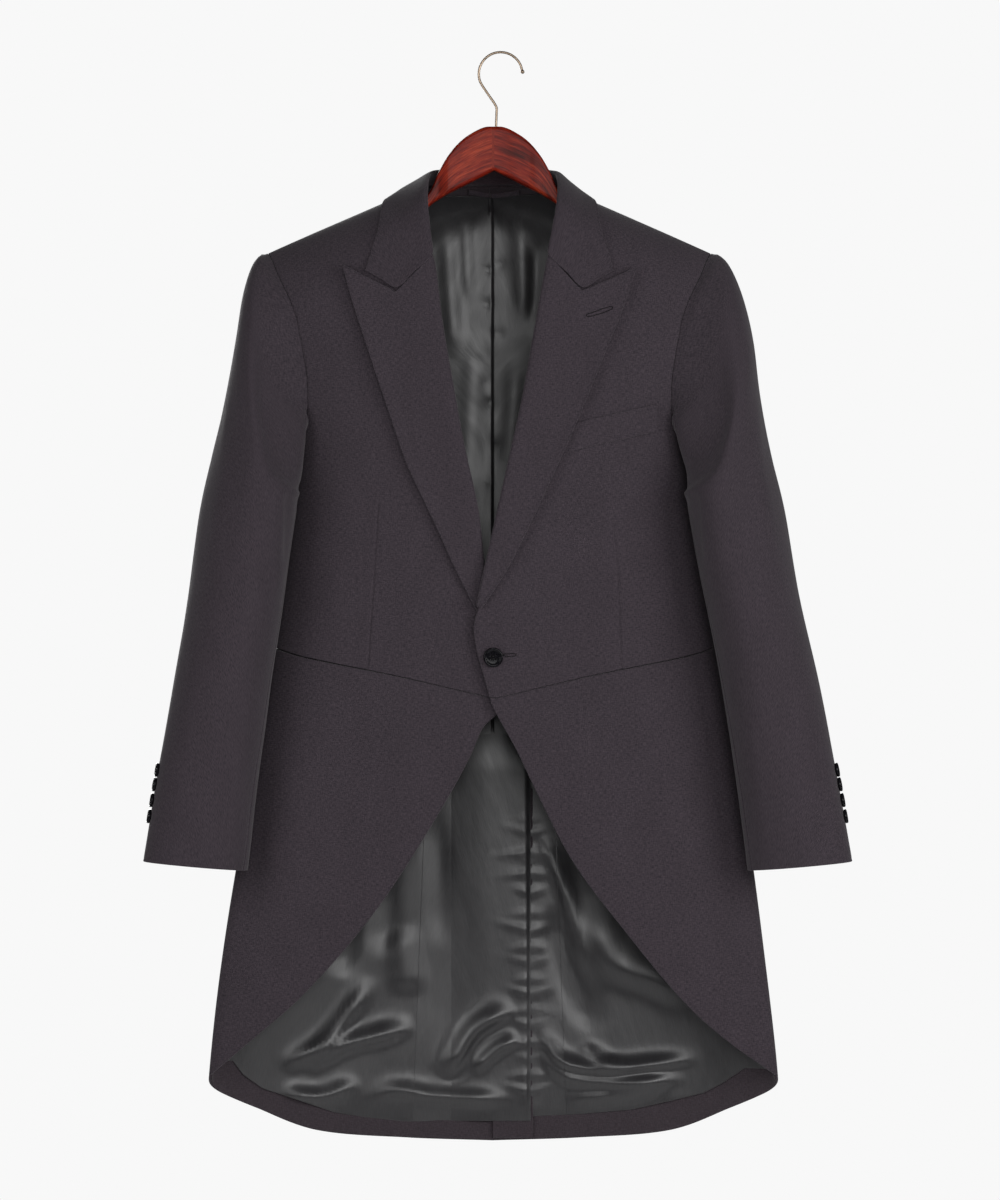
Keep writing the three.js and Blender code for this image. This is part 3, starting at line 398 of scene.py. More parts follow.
def onTrunk(x, height, face="front", sign=None):
    # where a point seen from the front, or through to the back, lies on that form
    x, height = np.asarray(x, float), np.asarray(height, float)
    sign = np.sign(x) if sign is None else sign
    start = shoulderHeight(x) - shoulder["rounding"]
    over = np.arcsin(np.clip((height - start) / shoulder["rounding"], 0, 1))
    rise = np.minimum(height, start) + shoulder["rounding"] * over
    halfWidth, _, _, middleX = trunkSection(rise)
    across = np.clip((x - middleX) / halfWidth, -0.9999, 0.9999)
    ahead = (1 - np.abs(across) ** trunk["power"]) ** (1 / trunk["power"])
    angle = np.degrees(np.arctan2(across, ahead if face == "front" else -ahead))
    if face == "back":
        angle = np.where(angle * sign < 0, angle + sign * 360, angle)
    return np.stack([angle, rise], -1)


def trunkNormal(spots):
    step = 0.05
    sideways, upwards = np.array([step, 0]), np.array([0, step])
    across = trunkPoint(spots + sideways) - trunkPoint(spots - sideways)
    down = trunkPoint(spots - upwards) - trunkPoint(spots + upwards)
    return unit(np.cross(down, across))


def arcTable():
    angles, rises = np.arange(0, 271, 2.0), np.arange(0, 1021, 20.0)
    spots = np.stack(np.meshgrid(angles, rises), -1)
    plan = trunkPoint(spots)[..., :2]
    steps = np.linalg.norm(np.diff(plan, axis=1), axis=-1)
    return np.hstack([np.zeros((len(rises), 1)), np.cumsum(steps, axis=1)])


arcs = arcTable()


def clothMetres(spots):
    # metres of cloth round the trunk and up it, so that the weave stays upright and to scale
    angle, rise = np.clip(np.abs(spots[..., 0]), 0, 269.9) / 2, np.clip(spots[..., 1], 0, 1019) / 20
    i, j = angle.astype(int), rise.astype(int)
    s, t = angle - i, rise - j
    arc = lerp(lerp(arcs[j, i], arcs[j, i + 1], s), lerp(arcs[j + 1, i], arcs[j + 1, i + 1], s), t)
    return np.stack([np.sign(spots[..., 0]) * arc, spots[..., 1]], -1) / 1000


# ---- walls of cloth

cloth = {"wall": 2.0, "lining": 0.9, "facing": 1.4, "liningDepth": 2.6,
         "seamDrop": 0.6, "seamWidth": 0.8,
         # a turned edge is rounded, and pressed in a little along its stitches
         "edgeRound": 0.98, "edgeDip": 0.22, "edgeDipAt": 2.9, "edgeDipWidth": 1.2}
allSewn = dict.fromkeys(("start", "end", "top", "bottom"), "sewn")
allTurned = dict.fromkeys(allSewn, "turned")
freeEdges = dict.fromkeys(("end", "top", "bottom"), "turned")


def gridNormals(points):
    across, down = np.gradient(points, axis=1), np.gradient(points, axis=0)
    normal = np.cross(down, across)
    return normal / np.maximum(np.linalg.norm(normal, axis=-1, keepdims=True), 1e-9)


def distances(points):
    # millimetres from each point of a net to its four sides, along the net
    zeroColumn, zeroRow = np.zeros((points.shape[0], 1)), np.zeros((1, points.shape[1]))
    right = np.hstack([zeroColumn, np.cumsum(np.linalg.norm(np.diff(points, axis=1), axis=-1), axis=1)])
    down = np.vstack([zeroRow, np.cumsum(np.linalg.norm(np.diff(points, axis=0), axis=-1), axis=0)])
    return {"start": right, "end": right[:, -1:] - right, "top": down, "bottom": down[-1:] - down}


def edgeShape(points, edges, thick):
    # how far the outer face drops and the inner one rises towards sewn and turned edges
    away = distances(points)
    drop, rise = np.zeros(points.shape[:2]), np.zeros(points.shape[:2])
    for side, kind in edges.items():
        far = away[side]
        if kind == "sewn":
            drop += cloth["seamDrop"] * np.exp(-(far / cloth["seamWidth"]) ** 2)
        if kind == "turned":
            half = thick / 2
            inward = np.clip(1 - far / half, 0, 1)
            curve = half * cloth["edgeRound"] * (1 - np.sqrt(1 - inward ** 2))
            dip = np.exp(-((far - cloth["edgeDipAt"]) / cloth["edgeDipWidth"]) ** 2)
            drop += curve + cloth["edgeDip"] * dip
            rise += curve
    return drop, rise


def stand(name, data):
    # a new object in the scene that holds the given mesh, light or camera
    made = bpy.data.objects.new(name, data)
    bpy.context.scene.collection.objects.link(made)
    return made


def meshFrom(name, verts, faces, uvs, finish):
    mesh = bpy.data.meshes.new(name)
    mesh.from_pydata(((verts - hookCrown) / 1000).tolist(), [], faces.tolist())
    layer = mesh.uv_layers.new(name="metres")
    loops = np.empty(len(mesh.loops), dtype=np.int32)
    mesh.loops.foreach_get("vertex_index", loops)
    layer.data.foreach_set("uv", uvs[loops].astype(np.float32).ravel())
    mesh.polygons.foreach_set("use_smooth", [True] * len(mesh.polygons))
    mesh.materials.append(finish)
    mesh.update()
    return stand(name, mesh)


def gridFaces(rows, columns, closed=False):
    r, c = np.meshgrid(np.arange(rows - 1), np.arange(columns if closed else columns - 1), indexing="ij")
    nextColumn = (c + 1) % columns
    quads = np.stack([r * columns + c, (r + 1) * columns + c, (r + 1) * columns + nextColumn,
                      r * columns + nextColumn], -1)
    return quads.reshape(-1, 4)


def wallPiece(name, outer, inner, uvs, finish):
    # a closed wall between two nets of points
    rows, columns = outer.shape[:2]
    count = rows * columns
    rim = [(0, c) for c in range(columns - 1)] + [(r, columns - 1) for r in range(rows - 1)]
    rim += [(rows - 1, c) for c in range(columns - 1, 0, -1)] + [(r, 0) for r in range(rows - 1, 0, -1)]
    ids = np.array([r * columns + c for r, c in rim])
    following = np.roll(ids, -1)
    sides = np.stack([ids, following, following + count, ids + count], -1)
    front = gridFaces(rows, columns)
    faces = np.vstack([front, front[:, ::-1] + count, sides])
    verts = np.vstack([outer.reshape(-1, 3), inner.reshape(-1, 3)])
    a, b, c, d = (verts[faces[:, k]] for k in range(4))
    volume = np.einsum("ij,ij->i", a, np.cross(b, c) + np.cross(c, d)).sum()
    if volume < 0:
        faces = faces[:, ::-1]
    piece = meshFrom(name, verts, faces, np.vstack([uvs.reshape(-1, 2)] * 2), finish)
    # the cut edge is flat, so that it doesn't darken the cloth beside it
    smooth = np.arange(len(faces)) < 2 * len(front)
    piece.data.polygons.foreach_set("use_smooth", smooth)
    return piece


def hang(piece, nodes):
    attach(piece, "root")
    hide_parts(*nodes)
    return piece


def clothPiece(name, nodes, outer, normal, uvs, cut, edges, thick=None, finish=None, slot="wool",
               holds="hanger_body"):
    thick = cloth["wall"] if thick is None else thick
    drop, rise = edgeShape(outer, edges, thick)
    face = outer - normal * drop[..., None]
    back = outer - normal * (thick - rise)[..., None]
    piece = hang(wallPiece(name, face, back, uvs, finish or wool), nodes)
    return face


def trunkPiece(name, nodes, grid, lift, cut, edges, **more):
    # a piece of cloth laid on the trunk's form, each point at its own distance off it
    normal = trunkNormal(grid)
    points = trunkPoint(grid) + normal * np.asarray(lift)[..., None]
    return clothPiece(name, nodes, points, normal, clothMetres(grid), cut, edges, **more)


def seenPlace(grid):
    # the places of a net as seen from the front: x and height
    place = trunkPoint(grid)
    return place[..., 0], place[..., 2]


def strokes(x, height, table):
    # soft ridges and troughs: each a path, its width, its depth and its lean to one side, all fading
    # towards both ends of the path
    total = np.zeros(np.shape(x))
    for path, width, depth, lean in table:
        line = smoothline(path, 10)
        length = along(line)
        near = ((x > line[:, 0].min() - 3 * width) & (x < line[:, 0].max() + 3 * width)
                & (height > line[:, 1].min() - 3 * width) & (height < line[:, 1].max() + 3 * width))
        if not near.any():
            continue
        spot = np.stack([x[near], height[near]], -1)[:, None]
        start, step = line[None, :-1], np.diff(line, axis=0)[None]
        share = np.clip(((spot - start) * step).sum(-1) / (step ** 2).sum(-1), 0, 1)
        off = spot - (start + share[..., None] * step)
        far = np.linalg.norm(off, axis=-1)
        best = far.argmin(1)
        pick = np.arange(len(best))
        at = (length[best] + share[pick, best] * (length[best + 1] - length[best])) / length[-1]
        side = np.sign(step[0, best, 0] * off[pick, best, 1] - step[0, best, 1] * off[pick, best, 0])
        reach = far[pick, best] / (width * (1 + lean * side))
        fade = smoothstep(at, 0, 0.3) * smoothstep(1 - at, 0, 0.3)
        total[near] += depth * np.exp(-reach ** 2) * fade
    return total


waveCount = 9


def waves(x, height, seed, size):
    # slow unevenness that is the same on each run
    random = np.random.default_rng(seed)
    total = np.zeros(np.shape(x))
    for _ in range(waveCount):
        angle, phase = random.uniform(0, math.pi), random.uniform(0, 2 * math.pi)
        wave = size * random.uniform(0.7, 1.8)
        total += np.sin((x * math.cos(angle) + height * math.sin(angle)) * 2 * math.pi / wave + phase)
    return total / waveCount


def unevenness(facts, x, height, sign=0):
    return facts["uneven"] * waves(x, height, facts["unevenSeed"] + sign, facts["unevenSize"])


# ---- seams of the trunk

def waistAt(angle):
    return sample(np.abs(angle), *trunk["waistSeam"].T)


def hemAt(angle):
    return sample(np.abs(angle), *trunk["hem"].T)


def alongLevel(start, end, heightAt):
    return lambda share: np.stack([lerp(start, end, share), heightAt(lerp(start, end, share))], -1)


def seen(outline, face, side):
    def at(share):
        spot = outline(share)
        sign = None if face == "front" else signOf[side]
        return onTrunk(spot[..., 0], spot[..., 1], face, sign)
    return at


def armholeOf(sign):
    spots = [np.array([sign * 90.0, height]) if face == "side" else onTrunk(sign * x, height, face)
             for face, x, height in trunk["armhole"]]
    scale = trunk["armholeScale"]
    loop = through([(((angle * sign + 360) % 360) * scale, rise) for angle, rise in spots])

    def at(share):
        spot = loop(share)
        return np.stack([sign * spot[..., 0] / scale, spot[..., 1]], -1)
    return at


holes = {side: armholeOf(sign) for side, sign in signOf.items()}


def sideSeamShare(side):
    shares = np.linspace(0.3, 0.5, 2001)
    angles = holes[side](shares)[:, 0] * signOf[side]
    return shares[np.argmax(angles >= trunk["sideSeamAngle"])]


seamShares = {side: sideSeamShare(side) for side in signOf}


def sideSeam(side):
    angle = trunk["sideSeamAngle"]
    top = holes[side](seamShares[side])[1]
    return lambda share: np.stack([np.full(np.shape(share), float(signOf[side] * angle)),
                                   lerp(top, waistAt(angle), share)], -1)


def tailEnd(side, column, heightAt):
    x = signOf[side] * trunk[column]
    angle = onTrunk(x, heightAt(180), "back", signOf[side])[0]
    return x, float(heightAt(angle))


def tailLine(side):
    ends = [tailEnd(side, "tailSeamWaistX", waistAt), tailEnd(side, "tailSeamHemX", hemAt)]
    return seen(through(ends), "back", side)


def backSeam(side):
    start = trunkPoint(holes[side](trunk["backSeamOnArmhole"]))
    below = [(signOf[side] * x, height) for x, height in trunk["sideBackSeam"]]
    line = [(start[0], start[2]), *below, tailEnd(side, "tailSeamWaistX", waistAt)]
    return seen(through(line), "back", side)


def shoulderSeam(side, face):
    def at(share):
        x = lerp(trunk["neckPoint"][side], signOf[side] * trunk["armhole"][0][1], share)
        return onTrunk(x, shoulderHeight(x) - 1e-6, face, signOf[side])
    return at


# ---- foreparts: chest and front to the waist, with a dart in each

forepart = {
    "inner": {
        "right": [(-74, 1004.6), (-71, 980), (-66, 934), (-57, 890), (-45, 820), (-30, 734), (-15, 664),
                  (-5, 610), (10, 560), (19, 512), (20, 471.4)],
        "left": [(82, 1001.2), (77, 980), (68, 934), (58, 890), (44, 820), (28, 734), (15, 671),
                 (3, 620), (-11, 566), (-16.5, 544), (-14, 522), (-6, 492), (0, 470.4)]},
    # how far the wearer's left front stands off, where it laps over the right one
    "lap": {"right": 0, "left": 8}, "lapFrom": 8, "lapTo": 80, "lapFadeFrom": 640, "lapFadeTo": 760,
    "dart": {"right": [(-115, 684), (-120, 600), (-125, 529), (-127, 498)],
             "left": [(128, 666), (133, 613), (137, 529), (138, 500)]},
    "dartDepth": 1.3, "dartWidth": 0.8, "dartSwell": 0.5, "dartSwellWidth": 9, "dartFade": 30,
    "length": 560, "step": 5.0, "columns": 160,
    # shares of the width near its two sides, and places beside the dart
    "sideShares": np.array([0, 0.004, 0.009, 0.016, 0.026, 0.04]) / 2,
    "dartPlaces": np.array([-6, -3.4, -2, -1.2, -0.6, 0, 0.6, 1.2, 2, 3.4, 6]),
    "plainColumns": 16, "plainFrom": 0.05, "plainGap": 0.02,
    "uneven": 0.5, "unevenSeed": 4, "unevenSize": 150,
    "cut": (0.26, 0.577, 0.64),  # metres, and the share of that rectangle that is kept
    # drag lines from the armhole and the waist: path, width, depth, lean
    "creases": {
        "right": [([(-186, 800), (-176, 730), (-170, 650)], 16, -1.6, 0.3),
                  ([(-150, 640), (-162, 560), (-168, 515)], 22, 1.4, 0.0),
                  ([(-60, 640), (-84, 570), (-92, 500)], 20, -1.0, 0.2)],
        "left": [([(184, 790), (176, 730), (172, 660)], 17, -1.7, -0.3),
                 ([(96, 700), (108, 640), (112, 580)], 20, 1.2, 0.0),
                 ([(60, 650), (76, 580), (84, 505)], 20, -1.0, 0.2)]},
}


def lapLift(side, spots):
    place = trunkPoint(spots)
    near = 1 - smoothstep(place[..., 0], forepart["lapFrom"], forepart["lapTo"])
    low = 1 - smoothstep(place[..., 2], forepart["lapFadeFrom"], forepart["lapFadeTo"])
    return np.where(np.abs(spots[..., 0]) > 90, 0, forepart["lap"][side] * near * low)


def makeForepart(side):
    sign = signOf[side]
    hole, seamShare = holes[side], seamShares[side]
    inner = seen(through(forepart["inner"][side]), "front", side)
    rows = spaced(forepart["length"], forepart["step"])
    acrosses = np.linspace(0, 1, forepart["columns"])
    sides = [shoulderSeam(side, "front"),
             alongLevel(inner(np.array(1.0))[0], sign * trunk["sideSeamAngle"], waistAt), inner,
             joined(partOf(hole, 0, seamShare), sideSeam(side), trunk["holePart"])]
    base = net(*sides, rows, acrosses)
    # the columns are laid again so that eleven of them follow the dart
    line = smoothline(forepart["dart"][side])
    line = line[np.argsort(line[:, 1])]
    places = trunkPoint(base)
    seamX = np.interp(places[:, -1, 2], line[:, 1], line[:, 0])
    first, gap, plain = forepart["sideShares"], forepart["plainGap"], forepart["plainColumns"]
    plainFrom = forepart["plainFrom"]
    grid = []
    for row, at in enumerate(seamX):
        x = places[row, :, 0] * sign
        share = np.interp(at * sign, x, acrosses)
        width = x[-1] - x[0]
        near = share + forepart["dartPlaces"] / width
        before = np.linspace(plainFrom, near[0] - gap, plain)
        after = np.linspace(near[-1] + gap, 1 - plainFrom, plain)
        shares = np.concatenate([first, before, near, after, 1 - first[::-1]])
        grid.append(columnsAt(shares, acrosses, base[row]))
    grid = np.array(grid)
    x, height = seenPlace(grid)
    lift = lapLift(side, grid) + strokes(x, height, forepart["creases"][side])
    lift += unevenness(forepart, x, height, sign)
    off = x - np.interp(height, line[:, 1], line[:, 0])
    held = smoothstep(line[-1, 1] + 3 - height, 0, forepart["dartFade"])
    lift -= forepart["dartDepth"] * held * np.exp(-(off / forepart["dartWidth"]) ** 2)
    lift += forepart["dartSwell"] * held * np.exp(-(off / forepart["dartSwellWidth"]) ** 2)
    return trunkPiece(f"{side}ForepartCloth", [f"forepart_{side}"], grid, lift, forepart["cut"],
                      {**allSewn, "start": "turned"})


foreparts = {side: makeForepart(side) for side in signOf}
print("foreparts made")


# ---- side bodies: the narrow panel under the arm

sideBody = {"length": 230, "width": 150, "step": 6.0, "cut": (0.194, 0.278, 0.54),
            "uneven": 0.5, "unevenSeed": 12, "unevenSize": 120}


def makeSideBody(side):
    sign, seam = signOf[side], backSeam(side)
    sides = [partOf(holes[side], seamShares[side], trunk["backSeamOnArmhole"]),
             alongLevel(sign * trunk["sideSeamAngle"], seam(np.array(1.0))[0], waistAt),
             sideSeam(side), seam]
    grid = net(*sides, *sharesOf(sideBody))
    place = trunkPoint(grid)
    lift = unevenness(sideBody, place[..., 1], place[..., 2], sign)
    return trunkPiece(f"{side}SideBodyCloth", [f"side_body_{side}"], grid, lift, sideBody["cut"], allSewn)


for side in signOf:
    makeSideBody(side)


# ---- backs, cut in one with the tails, and the skirts that join them

back = {
    "length": 1040, "width": 170, "step": 6.0, "cut": (0.26, 1.043, 0.435),
    "uneven": 0.6, "unevenSeed": 20, "unevenSize": 160,
    "creases": [
        ([(60, 930), (90, 860), (120, 780)], 22, -1.6, 0.2),
        ([(30, 700), (48, 620), (52, 560)], 16, 1.6, 0),
        ([(34, 520), (46, 400), (60, 250)], 20, 1.8, 0.2),
        ([(60, 450), (70, 320), (76, 160)], 16, -1.4, 0)],
}
skirt = {
    "length": 520, "width": 520, "step": 6.0, "cut": (0.45, 0.53, 0.76),
    "uneven": 0.7, "unevenSeed": 30, "unevenSize": 170, "looseFrom": 530, "looseOver": 120,
    "cutaway": {
        "right": [(20, 471), (8, 452), (-6, 439), (-20, 408), (-52, 350), (-120, 245), (-197, 156),
                  (-246, 113), (-293, 73)],
        "left": [(0, 470), (4, 459), (28, 415), (47, 375), (87, 298), (140, 227), (204, 150), (247, 111),
                 (300, 73)]},
    "creases": {
        "right": [([(-190, 500), (-206, 380), (-228, 230)], 24, 2.2, 0.2),
                  ([(-130, 480), (-150, 380), (-176, 260)], 26, -1.8, 0),
                  ([(-236, 420), (-252, 280), (-268, 130)], 18, -1.8, 0),
                  ([(-70, 440), (-96, 360), (-120, 290)], 22, 1.2, 0)],
        "left": [([(186, 500), (200, 380), (226, 230)], 24, 2.2, -0.2),
                 ([(130, 480), (146, 380), (172, 250)], 26, -1.6, 0),
                 ([(232, 420), (250, 280), (272, 130)], 18, -1.8, 0),
                 ([(66, 440), (92, 350), (118, 280)], 22, 1.2, 0)]},
}


def backSides(side):
    sign = signOf[side]
    neckline = trunk["backNeck"][side]
    seamLine = joined(backSeam(side), tailLine(side), trunk["backBodyPart"])
    centre = onTrunk(trunk["centreSeamX"], 0, "back", sign)[0]
    tail = tailLine(side)(np.array(1.0))[0]
    top = seen(through(neckline), "back", side)
    return [joined(top, shoulderSeam(side, "back"), trunk["neckShare"]), alongLevel(centre, tail, hemAt),
            seen(through([neckline[0], (trunk["centreSeamX"], 0)]), "back", side),
            joined(partOf(holes[side], 1, trunk["backSeamOnArmhole"]), seamLine, trunk["backHolePart"])]


def skirtSides(side):
    edge, tail = seen(through(skirt["cutaway"][side]), "front", side), tailLine(side)
    levels = [alongLevel(edge(share)[0], tail(share)[0], heightAt)
              for share, heightAt in ((np.array(0.0), waistAt), (np.array(1.0), hemAt))]
    return [*levels, edge, tail]


def makeBack(side):
    grid = net(*backSides(side), *sharesOf(back))
    x, height = seenPlace(grid)
    lift = strokes(np.abs(x), height, back["creases"]) + unevenness(back, x, height)
    return trunkPiece(f"{side}BackCloth", [f"back_{side}"], grid, lift, back["cut"],
                      {**allSewn, "bottom": "turned"})


def makeSkirt(side):
    grid = net(*skirtSides(side), *sharesOf(skirt))
    x, height = seenPlace(grid)
    down = smoothstep(skirt["looseFrom"] - height, 0, skirt["looseOver"])
    lift = lapLift(side, grid) + down * strokes(x, height, skirt["creases"][side])
    lift += down * unevenness(skirt, x, height)
    return trunkPiece(f"{side}SkirtCloth", [f"skirt_{side}"], grid, lift, skirt["cut"],
                      {**allSewn, "start": "turned", "bottom": "turned"})


skirts = {}
for side in signOf:
    makeBack(side)
    skirts[side] = makeSkirt(side)
print("backs and skirts made")


# ---- lapels: each rolls round the front edge and lies on the chest

lapel = {
    "fold": {
        "right": [(-58.5, 931), (-55, 915), (-49, 865), (-38, 800), (-26, 734), (-11, 664), (-5, 610),
                  (0, 562)],
        "left": [(60.5, 931), (53, 891), (44, 840), (32, 774), (20, 720), (9, 671), (-4, 613),
                 (-14.5, 566)]},
    "edge": {
        "right": [(-152, 920), (-142, 883), (-124, 827), (-106, 774), (-86, 715), (-60, 659), (-35, 603),
                  (-12, 557)],
        "left": [(152, 917), (138, 874), (121, 832), (90, 756), (54, 676), (36, 638), (19, 605),
                 (-8, 563)]},
    "top": {"right": [(-58.5, 931), (-97, 892), (-152, 920)],
            "left": [(60.5, 931), (96, 893), (152, 917)]},
    # how far it stands off from the fold across to the free edge, at the top and at the foot
    "liftAcross": [0, 0.15, 0.5, 0.8, 1], "liftTop": [6, 6, 4.6, 5.0, 8.0], "liftFoot": 4.4,
    "length": 400, "rowStep": 4.0, "width": 90, "step": 3.0,
    "uneven": 0.35, "unevenSeed": 50, "unevenSize": 90,
    # the roll: its radius at the top and the foot, the angles at which it is followed round, how clear
    # of it the flat part starts, the column that gives its way, and how far the cloth runs in behind it
    "roll": 4.4, "rollFoot": 2.2, "rollAngles": np.radians(np.linspace(-90, 70, 11)), "rollClear": 0.4,
    "wayColumn": 6, "under": (12, 8.0, 5.0), "underFoot": 0.3, "thick": 2.2,
    "cut": {"right": (0.141, 0.394, 0.51), "left": (0.137, 0.393, 0.48)},
}


def makeLapel(side):
    sign = signOf[side]
    rows, across = sharesOf(lapel)
    fold, edge = through(lapel["fold"][side]), through(lapel["edge"][side])
    ends = through([lapel["fold"][side][-1], lapel["edge"][side][-1]], True)
    top = through(lapel["top"][side], True)
    # the gorge's corner keeps its own column
    corner = np.argmin(top(np.linspace(0, 1, 801))[:, 1]) / 800
    across[np.argmin(np.abs(across - corner))] = corner
    flat = net(top, ends, fold, edge, rows, across)
    down = rows[:, None]
    topLift = np.interp(across, lapel["liftAcross"], lapel["liftTop"])[None]
    lift = lerp(topLift, lapel["liftFoot"], down ** 3)
    lift = lift + unevenness(lapel, flat[..., 0], flat[..., 1], sign)
    spots = onTrunk(flat[..., 0], flat[..., 1])
    # the roll, from behind the front edge round to the fold's outer face
    turn = lapel["rollAngles"]
    foldSpot = flat[:, 0]
    way = unit(flat[:, lapel["wayColumn"]] - foldSpot)
    radius = lerp(lapel["roll"], lapel["rollFoot"], down ** 3)
    middleLift = lift[:, :1] - radius
    rolled = radius * (1 - np.cos(turn))
    under = np.array(lapel["under"])[None] * lerp(1.0, lapel["underFoot"], down ** 2)
    reach = np.hstack([under + radius, rolled])
    underLift = np.repeat(middleLift - radius, len(lapel["under"]), 1)
    rollLift = np.hstack([underLift, middleLift + radius * np.sin(turn)])
    rollFlat = foldSpot[:, None] + way[:, None] * reach[..., None]
    rollSpots = onTrunk(rollFlat[..., 0], rollFlat[..., 1])
    keep = np.linalg.norm(flat - foldSpot[:, None], axis=-1).mean(0) > lapel["roll"] + lapel["rollClear"]
    grid = np.concatenate([rollSpots, spots[:, keep]], 1)
    lifts = np.concatenate([rollLift, lift[:, keep]], 1) + lapLift(side, grid)
    points = trunkPoint(grid) + trunkNormal(grid) * lifts[..., None]
    normal = gridNormals(points) * sign
    if normal[:, -1, 1].mean() > 0:
        normal = -normal
    uvs = np.stack([distances(points)["start"] * sign, points[..., 2]], -1) / 1000
    return clothPiece(f"{side}LapelCloth", [f"lapel_{side}"], points, normal, uvs, lapel["cut"][side],
                      freeEdges, lapel["thick"])


lapels = {side: makeLapel(side) for side in signOf}
print("lapels made")


# ---- collar

collar = {
    # from the back round to the end: the shift to +X, then the foot on the neckline, the fold, the
    # middle of the fall and its edge; each is a face of the trunk, x, height and lift, or x, y, height
    "stations": [
        (4, ("back", 0, 1011.8, -2), (0, 62, 1027), ("back", 0, 1006, 6), ("back", 0, 984, 3.4)),
        (4, ("back", 49, 1010.6, -2), (49, 42, 1026), ("back", 66, 1001, 6), ("back", 74, 982, 3.4)),
        (4, (64, 23, 1008.4), (60, 22, 1023.5), ("back", 81, 996, 7), ("back", 97, 988, 4.2)),
        (4, ("front", 77, 1003, -1.4), (65.5, 4, 1019.5), ("front", 90, 999, 7),
         ("front", 110, 985.5, 4.2)),
        (3, ("front", 71.6, 982, -2), ("front", 65, 986, 8), ("front", 93, 968, 4.6),
         ("front", 116, 956, 3.4)),
        (1, ("front", 65.6, 936, -2), ("front", 59, 933.5, 5.5), ("front", 96.8, 896.3, 4.6),
         ("front", 129, 914, 4.6))],
    "shiftShare": (1, 1, 0.5, 0), "roll": 3.2, "thick": 2.4, "cut": (0.104, 0.522, 0.57),
    "length": 560, "rowStep": 4.0, "step": 2.2, "columns": 44,
}


def collarPlace(cell, sign, shift):
    if len(cell) == 3:
        return np.array([sign * cell[0] + shift, cell[1], cell[2]])
    face, x, height, lift = cell
    spot = onTrunk(sign * x + shift, height, face, sign)
    return trunkPoint(spot) + trunkNormal(spot) * lift


def makeCollar():
    stations = [(s, -1) for s in collar["stations"][::-1]] + [(s, 1) for s in collar["stations"][1:]]
    shares = spaced(collar["length"], collar["rowStep"])
    curves = []
    for k, shiftShare in enumerate(collar["shiftShare"]):
        line = smoothline([collarPlace(s[k + 1], sign, s[0] * shiftShare) for s, sign in stations], 40)
        at = np.linspace(0, 1, len(line))
        curves.append(columnsAt(shares, at, line))
    foot, fold, middle, edge = curves
    up = unit(fold - (foot + middle) / 2)
    across = middle - foot
    across = unit(across - up * (across * up).sum(-1, keepdims=True))
    inside = fold - (across + up) * collar["roll"]
    outside = fold + (across - up) * collar["roll"]
    section = np.stack([foot, (foot + inside) / 2, inside, fold, outside, (outside + middle) / 2, middle,
                        (middle + edge) / 2, edge], 1)
    rows = []
    for row in section:
        line = smoothline(row, 12)
        length = along(line)
        at = spaced(length[-1], collar["step"]) * length[-1]
        # every row gets the same number of columns
        at = np.interp(np.linspace(0, 1, collar["columns"]), np.linspace(0, 1, len(at)), at)
        rows.append(columnsAt(at, length, line))
    points = np.array(rows)
    normal = -gridNormals(points)
    if normal[len(normal) // 2, -1, 1] < 0:
        normal = -normal
    uvs = np.stack([distances(points)["top"], distances(points)["start"]], -1) / 1000
    return clothPiece("collarCloth", ["collar"], points, normal, uvs, collar["cut"], freeEdges,
                      collar["thick"])


collarFace = makeCollar()
print("collar made")


# ---- sleeves

